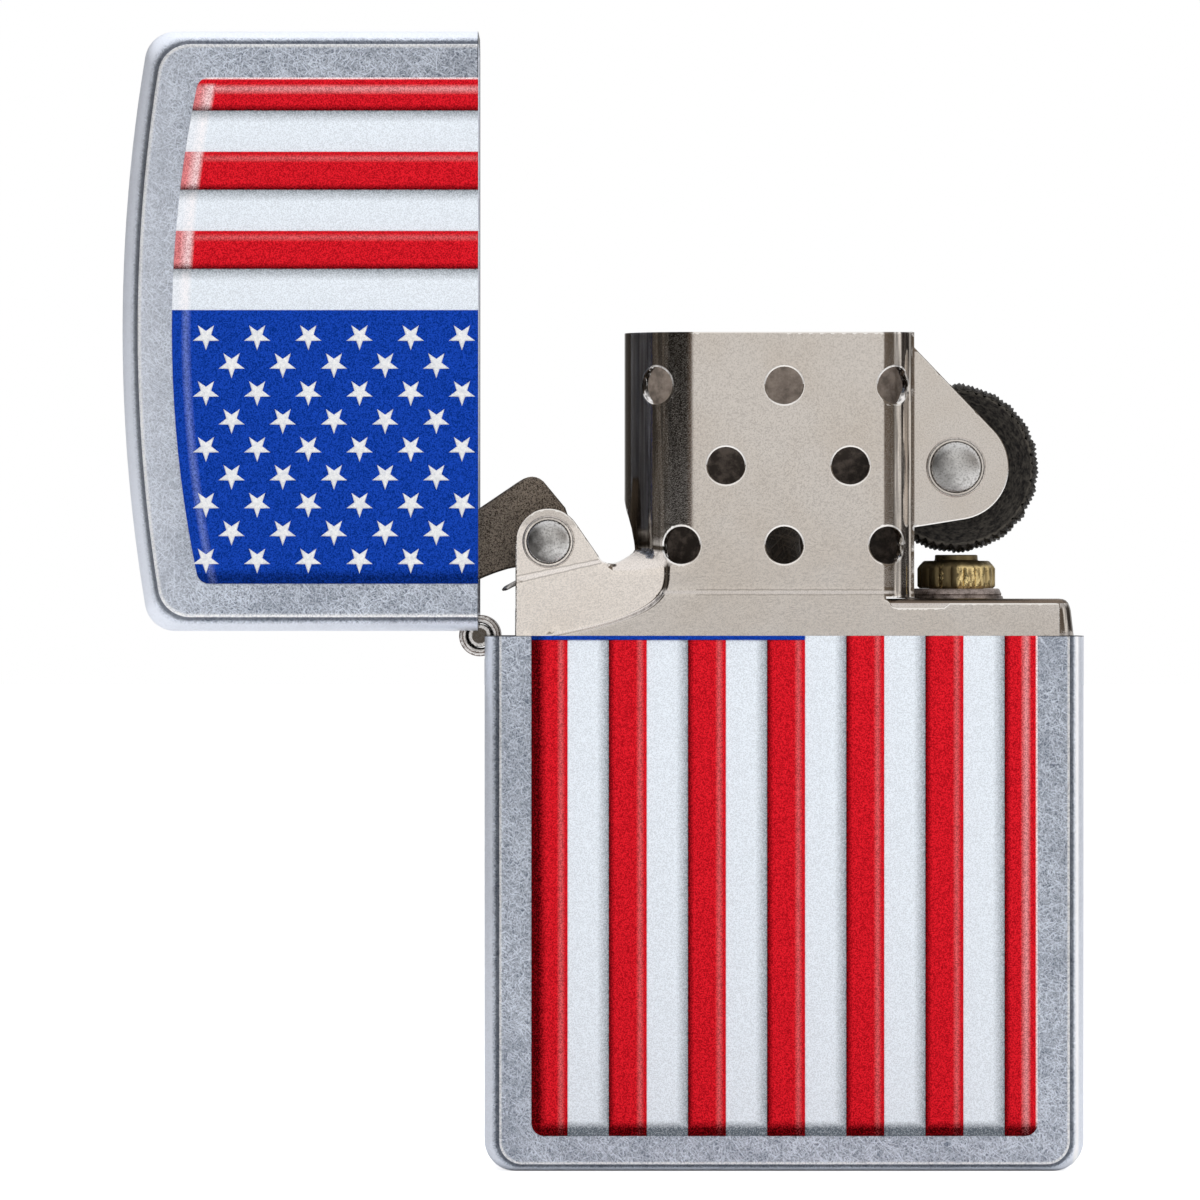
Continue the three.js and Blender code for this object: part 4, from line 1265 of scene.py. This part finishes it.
# ---- rivets ----
def rivet(name, place, seat, radius, height, steel):
    """A shaft across the ears with a low domed head and a thin swaged lip on each side."""
    shaft_r = 0.95
    head = [(shaft_r, seat - 1.2), (shaft_r, seat), (radius, seat)]
    head += [(radius, seat + 0.12 * height), (0.985 * radius, seat + 0.25 * height)]
    for k in range(1, 9):
        t = k / 8 * math.pi / 2
        head.append((radius * 0.97 * math.cos(t) + 1e-4, seat + height * (0.3 + 0.7 * math.sin(t))))
    lip = [(radius + 0.1, seat - 0.05), (radius + 0.1, seat + 0.05), (radius + 0.17, seat + 0.09)]
    lip += [(radius + 0.24, seat + 0.05), (radius + 0.26, seat - 0.05)]
    centre = (place.x, 0, place.z)
    parts = []
    for side in (-1, 1):
        parts.append(turned([(r, side * y) for r, y in head], "y", centre, 40))
        parts.append(turned([(r, side * y) for r, y in lip], "y", centre, 40, loop=True))
    parts.append(turned([(shaft_r, 1.2 - seat), (shaft_r, seat - 1.2)], "y", centre, 24))
    piece(name + "_body", "insert", joined(*parts), steel, name, sharp=50)


# ---- cam lever and its leaf spring ----
def quadratic(start, control, end, steps=8):
    """Points of a quadratic curve after its start."""
    points = []
    for i in range(1, steps + 1):
        t = i / steps
        weights = ((1 - t) ** 2, 2 * t * (1 - t), t * t)
        points.append(tuple(sum(w * p[k] for w, p in zip(weights, (start, control, end))) for k in (0, 1)))
    return points


def cam_outline():
    """The lever's side view, anticlockwise, about its pivot."""
    outline = [(-6.55, -3.55)]
    outline += quadratic((-6.55, -3.55), (-4.6, -2.25), (-2.6, -1.7))
    outline += [(-1, -1.4)] + arc(0, 0, 1.72, -126, 18, 16)
    outline += [(1.05, 2.2), (-0.33, 3.87)]
    outline += quadratic((-0.33, 3.87), (-1.01, 4.5), (-1.92, 3.87), 6)
    outline += [(-4.4, 2.19)]
    outline += quadratic((-4.4, 2.19), (-5.9, 0.8), (-7, -2.2))
    outline += quadratic((-7, -2.2), (-7.3, -3.5), (-6.55, -3.55), 5)[:-1]
    return [(CAM.x + dx, CAM.z + dz) for dx, dz in outline]


def make_cam():
    part = prism(cam_outline(), -CAM_HALF, CAM_HALF, 0.16)
    lever = piece("cam_lever_body", "cam", part, cam_steel, "cam_lever")
    cut(lever, turned([(1.05, -3), (1.05, 3)], "y", (CAM.x, 0, CAM.z), 32))
    round_rims(lever, 0.04, 60, 1)


def with_normals(path):
    """Each point of an XZ path with its unit normal: (x, z, nx, nz)."""
    rows = []
    for i, (x, z) in enumerate(path):
        before, after = path[max(0, i - 1)], path[min(len(path) - 1, i + 1)]
        length = math.dist(before, after)
        rows.append((x, z, -(after[1] - before[1]) / length, (after[0] - before[0]) / length))
    return rows


def ribbon(path, thickness, half_width, ends):
    """A flat strip that follows an XZ path, with softly rounded long edges and rounded ends."""
    rings = []
    for x, z, nx, nz in with_normals(path):
        half, width = thickness / 2, half_width
        gone = min(math.dist(path[0], (x, z)), math.dist(path[-1], (x, z)))
        if gone < ends:
            share = math.sqrt(max(0.0, 1 - (1 - gone / ends) ** 2))
            half *= 0.35 + 0.65 * share
            width -= 0.25 * (1 - share)
        section = [(-width, 0), (0.06 - width, half), (width - 0.06, half), (width, 0)]
        section += [(width - 0.06, -half), (0.06 - width, -half)]
        rings.append([(x + nx * off, y, z + nz * off) for y, off in section])
    return loft(rings)


def rounded_path(corners, radius, steps=6):
    """A polyline whose inner corners are replaced by quadratic bends."""
    path = [corners[0]]
    for before, here, after in zip(corners, corners[1:], corners[2:]):
        here = np.array(here, float)
        start = here + radius * (np.array(before) - here) / math.dist(before, here)
        end = here + radius * (np.array(after) - here) / math.dist(after, here)
        path.append(tuple(start))
        path += quadratic(tuple(start), tuple(here), tuple(end), steps)
    return path + [corners[-1]]


def make_spring():
    deck = DECK_TOP + 0.17
    tip = box_mm("cam_spring")[0].x
    corners = [(-6.8, deck), (-11.6, deck), (CAM.x + 0.9, 38.0), (CAM.x - 0.9, 38.0)]
    corners += [(tip + 0.3, 37.2), (tip - 0.25, 36.9)]
    leaf = ribbon(resampled(rounded_path(corners, 0.45), 0.2), 0.3, 1.5, 0.45)
    piece("cam_leaf_spring", "insert", leaf, spring_steel, "cam_spring", sharp=60)


# ---- spark wheel ----
def make_wheel():
    """A file-cut wheel: crossed slanting teeth round the rim, turned side faces, a hub bore."""
    teeth, per_tooth, across = 56, 8, 21
    around = teeth * per_tooth
    depth = 0.27
    wear = [random.uniform(-0.15, 0.0) for _ in range(teeth)]

    def tooth(u, v):
        """Height of the file cut at u teeth round and v across, 0 to 1."""
        ridges = [abs((u + slant * v) % 1.0 - 0.5) * 2 for slant in (2.2, -2.2)]
        return min(ridges) * 0.75 + 0.25 * ridges[0]

    def ring(radius, y):
        return circle((WHEEL.x, y, WHEEL.z), radius, "y", around)

    sides = [(1.05, 0.0), (1.06, 1.0), (1.9, 1.0), (2.0, 0.95), (3.2, 0.95), (3.4, 1.0), (4.95, 1.0)]
    rings = [ring(r, -WHEEL_HALF * share) for r, share in sides]
    for k in range(across):
        v = k / (across - 1)
        edge = min(v, 1 - v) * 2 * WHEEL_HALF
        fall = 0.3 * max(0.0, 1 - edge / 0.4) ** 2

        def rim(i):
            return WHEEL_R - fall + wear[i // per_tooth] - depth * (1 - tooth(i / per_tooth, v))

        rings.append(ring(rim, -WHEEL_HALF + 2 * WHEEL_HALF * v))
    rings += [ring(r, WHEEL_HALF * share) for r, share in reversed(sides[1:])]
    wheel = loft(rings, loop=True)
    piece("spark_wheel", "wheel", wheel, wheel_steel, "flint_wheel", sharp=28)


# ---- flint tube, collar and washer ----
def make_collar():
    low, high = 37.02, 38.78
    bore, tube_r = 1.24, 1.75
    flutes, per_flute = 18, 6

    def fluted(radius, z, bite=0.0):
        def reach(i):
            return radius - bite * abs(math.cos(math.pi * i / per_flute)) ** 10

        return circle((FLINT.x, 0, z), reach, "z", flutes * per_flute)

    levels = [(bore, low - 1.1), (1.72, low - 1.1), (tube_r, low), (2.36, low), (2.46, low + 0.1, 0.1)]
    levels += [(2.5, low + 0.14, 0.16), (2.5, high - 0.5, 0.16), (2.4, high - 0.34, 0.08)]
    levels += [(2.12, high - 0.04), (2.02, high), (1.45, high), (1.38, high + 0.05)]
    levels += [(1.36, high + 0.34), (1.3, high + 0.38), (bore, high + 0.38)]
    collar = loft([fluted(*level) for level in levels], loop=True)
    centre = (FLINT.x, 0, 0)
    wall = [(bore, 2.6), (tube_r, 2.6), (tube_r, low - 1.15), (bore, low - 1.15)]
    part = joined(collar, turned(wall, "z", centre, 36, loop=True))
    piece("flint_collar", "insert", part, brass_painted_shade, "flint_tube", sharp=40)

    base = DECK_TOP + 0.02
    lip = [(1.9, 0), (2.96, 0), (3.0, 0.05), (2.97, 0.2), (2.88, 0.23), (2.87, 0.28), (2.9, 0.33)]
    lip += [(2.76, 0.64), (2.68, 0.69), (1.9, 0.69)]
    washer = turned([(r, base + up) for r, up in lip], "z", centre, 48, loop=True)
    piece("tube_washer", "insert", washer, washer_steel, "flint_tube_washer", sharp=40)


# ---- wick and packing ----
def spline(points, steps):
    """A smooth curve through points (Catmull-Rom)."""
    points = [np.array(p, float) for p in points]
    ends = [2 * points[0] - points[1]] + points + [2 * points[-1] - points[-2]]
    result = []
    for a, b, c, d in zip(ends, ends[1:], ends[2:], ends[3:]):
        for k in range(steps):
            t = k / steps
            bend = (2 * a - 5 * b + 4 * c - d) * t * t + (3 * b - a - 3 * c + d) * t**3
            result.append(0.5 * (2 * b + (c - a) * t + bend))
    return result + [points[-1]]


WICK_R = 1.2


def wick_route(top):
    """The wick's way down from the chimney and to and fro between the pads, as (x, z)."""
    pads = [box_mm("packing_pad_" + name) for name in ("top", "middle", "bottom")]
    past_pad = 3.7 - WICK_R - 0.45  # how far the bends reach past a pad's end
    right = pads[0][1].x + past_pad
    left = pads[1][0].x - past_pad
    over = [high.z + 2.1 for _, high in pads]
    route = [(0, top), (0, 41), (0, 36), (2.2, over[0] + 0.6), (right - 0.6, over[0] - 0.7)]
    route += [(right, pads[0][0].z + 2.5), (right - 1.4, over[1] + 0.4), (4, over[1]), (-10, over[1])]
    route += [(left + 0.6, over[1] - 0.6), (left, pads[1][0].z + 2.5), (left + 1.4, over[2] + 0.4)]
    return route + [(-10, over[2]), (3, over[2])]


def make_wick():
    """A braided cord that winds down between the pads, with a charred, frayed top."""
    top = box_mm("wick")[1].z
    path = resampled([tuple(p) for p in spline(wick_route(top), 10)], 0.3)
    around = 20
    rings = []
    for i, (x, z, nx, nz) in enumerate(with_normals(path)):
        ring = []
        for k in range(around):
            angle = 2 * math.pi * k / around
            braid = abs(math.sin(3 * angle + i * 0.42)) + abs(math.sin(3 * angle - i * 0.42))
            r = WICK_R * (0.86 + 0.08 * braid)
            ring.append((x + nx * r * math.cos(angle), r * math.sin(angle), z + nz * r * math.cos(angle)))
        rings.append(ring)
    cord = piece("wick_cord", "insert", loft(rings), cotton, "wick", sharp=80)
    char_above(cord, 37.5, charred)
    strands = []
    for _ in range(26):
        angle, out = random.uniform(0, 2 * math.pi), random.uniform(0.1, 0.95)
        lean = random.uniform(0.0, 0.5)
        height = random.uniform(0.5, 1.5)
        strand = []
        for t in (0, 0.35, 0.7, 1.0):
            reach = out * (1 + lean * t * t)
            middle = (reach * math.cos(angle), reach * math.sin(angle), top - 0.4 + t * height)
            strand.append(circle(middle, 0.13 * (1 - 0.55 * t), "z", 6))
        strands.append(loft(strand))
    piece("wick_fray", "insert", joined(*strands), charred, "wick", sharp=80)


def pad_shape(low, high, lump, corner, cells):
    """A soft block: rounded, slightly swollen faces with lumps of fibre."""
    nx, ny, nz = cells
    middle, half = (low + high) / 2, (high - low) / 2
    points, index, faces = [], {}, []

    def vertex(i, j, k):
        key = (i, j, k)
        if key not in index:
            unit = np.array([2 * i / nx - 1, 2 * j / ny - 1, 2 * k / nz - 1])
            reach = np.array(half) - corner
            raw = unit * np.array(half)
            core = np.clip(raw, -reach, reach)
            off = raw - core
            norm = np.linalg.norm(off)
            p = core + (off / norm * corner if norm > 1e-6 else 0)
            wave = math.sin(2.1 * raw[0] + 1.3 * raw[2]) * math.sin(1.7 * raw[2] - 0.9 * raw[0] + 2 * raw[1])
            p = p * (1 - lump * (0.5 + 0.5 * wave) / np.array(half))
            index[key] = len(points)
            points.append(tuple(np.array(middle) + p))
        return index[key]

    spans = ((0, ny, nz), (1, nx, nz), (2, nx, ny))
    for axis, across, up in spans:
        for end in (0, (nx, ny, nz)[axis]):
            for i in range(across):
                for j in range(up):
                    quad = []
                    for di, dj in ((0, 0), (1, 0), (1, 1), (0, 1)):
                        cell = [i + di, j + dj]
                        cell.insert(axis, end)
                        quad.append(vertex(*cell))
                    faces.append(tuple(quad))
    return points, faces


def make_packing():
    for place in ("top", "middle", "bottom"):
        name = "packing_pad_" + place
        low, high = box_mm(name)
        pad = pad_shape(np.array(low), np.array(high), 0.35, 1.6, (40, 18, 12))
        piece("wadding_" + place, "insert", pad, cotton, name, sharp=80)
    low, high = box_mm("felt_pad")
    pad = pad_shape(np.array(low), np.array(high), 0.08, 0.5, (60, 18, 6))
    obj = piece("felt_base", "insert", pad, felt, "felt_pad", sharp=80)
    cut(obj, turned([(2.9, -3), (2.9, 6)], "z", (FLINT.x, 0, 0), 36))


# ---- build ----
make_shells()
make_prints()
make_hinge()
make_sheet()
make_tank()
rivet("cam_rivet", CAM, 5.27, 1.42, 0.5, cam_rivet_steel)
rivet("wheel_rivet", WHEEL, 4.28, 1.66, 0.55, wheel_rivet_steel)
make_cam()
make_spring()
make_wheel()
make_collar()
make_wick()
make_packing()

CARRIED = {
    "insert_deck": dark_nickel, "hinge_pin": hinge_nickel, "cam_spring_rivet": spring_steel,
    "flint_spring": spring_steel, "flint_screw": brass, "flint": flint_alloy, "flint_plunger": brass,
}
for name, material in CARRIED.items():
    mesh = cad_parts[name].data
    mesh.materials.clear()
    mesh.materials.append(material)


# ---- studio ----
def studio_world():
    """White behind the object; round it, the cards and dark gaps that metal reflects."""
    world = bpy.data.worlds.new("studio")
    world.use_nodes = True
    tree = world.node_tree
    tree.nodes.clear()
    x, y, z = node(tree, "TexCoord", output="Generated").split()
    azimuth = x.math("ARCTAN2", y * -1.0)
    cards = [  # (angle round the object, red, green, blue)
        (-180, 0.80, 0.80, 0.80), (-168, 0.80, 0.80, 0.80), (-160, 0.15, 0.14, 0.13),
        (-128, 0.08, 0.07, 0.06), (-112, 0.09, 0.08, 0.07), (-102, 0.02, 0.018, 0.015),
        (-88, 0.02, 0.018, 0.015), (-78, 0.12, 0.105, 0.09), (-60, 0.12, 0.105, 0.09),
        (-46, 0.02, 0.018, 0.015), (-20, 0.02, 0.018, 0.015), (-13, 0.12, 0.09, 0.07),
        (-9, 0.86, 0.85, 0.84), (9, 0.86, 0.85, 0.84), (13, 0.16, 0.13, 0.105), (50, 0.15, 0.125, 0.10),
        (58, 1.0, 0.98, 0.96), (82, 1.0, 0.98, 0.96), (90, 0.08, 0.07, 0.065), (128, 0.07, 0.065, 0.06),
        (138, 0.6, 0.6, 0.6), (158, 0.5, 0.5, 0.5), (168, 0.8, 0.8, 0.8), (180, 0.8, 0.8, 0.8),
    ]
    share = azimuth * (1 / (2 * math.pi)) + 0.5
    around = ramp(share, [(angle / 360 + 0.5, *colour) for angle, *colour in cards])
    overhead = mix(abs(z).remap(0.3, 0.65), around, (0.9, 0.9, 0.92))
    seen = mix(node(tree, "LightPath", output="Is Camera Ray"), overhead, WHITE)
    background = node(tree, "Background", {"Color": seen, "Strength": 1.0})
    link(tree.nodes.new("ShaderNodeOutputWorld").inputs["Surface"], background)
    bpy.context.scene.world = world


def softbox(name, place, size, power, colour=WHITE):
    """A square area light in millimetres, aimed at the middle of the lighter."""
    light = bpy.data.lights.new(name, "AREA")
    light.shape = "SQUARE"
    light.size = size * MM
    light.energy = power
    light.color = colour
    obj = add_object(name, light)
    obj.location = Vector(place) * MM
    aim = Vector((-8, 0, 34)) * MM - obj.location
    obj.rotation_euler = aim.to_track_quat("-Z", "Y").to_euler()
    obj.visible_glossy = False  # metal reflects the studio's cards alone


def make_floor():
    """A plain white table that fades into the white background."""
    reach = 4000
    corners = [(-reach, -reach, 0), (reach, -reach, 0), (reach, reach, 0), (-reach, reach, 0)]
    mesh = mesh_of("floor", (corners, [(0, 1, 2, 3)]))
    look = Look("white_table")
    glow = node(look.place.tree, "LightPath", output="Is Camera Ray") * 0.72
    emission = {"Emission Color": WHITE, "Emission Strength": glow}
    mesh.materials.append(look.finish((0.8, 0.8, 0.8), 0.9, 0.0, **emission))
    add_object("floor", mesh)


studio_world()
make_floor()
softbox("key", (260, -330, 330), 150, 0.75)
softbox("fill", (-300, -380, 160), 260, 0.45, (0.95, 0.97, 1.0))
softbox("top", (-20, 60, 420), 260, 0.6)
bpy.context.scene.view_settings.view_transform = "Standard"

# The photo looks straight at the printed face from far off, aimed between case and lid.
FRAME_WIDTH = 76.1
CAMERA_AWAY = 700
SENSOR = 36
camera_data = bpy.data.cameras.new("camera")
camera_data.sensor_width = SENSOR
camera_data.lens = SENSOR * CAMERA_AWAY / FRAME_WIDTH
camera_data.clip_start = 0.01
camera = add_object("camera", camera_data)
camera.location = Vector((-11.7, -HALF_D - CAMERA_AWAY, 36.27)) * MM
camera.rotation_euler = (math.pi / 2, 0, 0)
bpy.context.scene.camera = camera
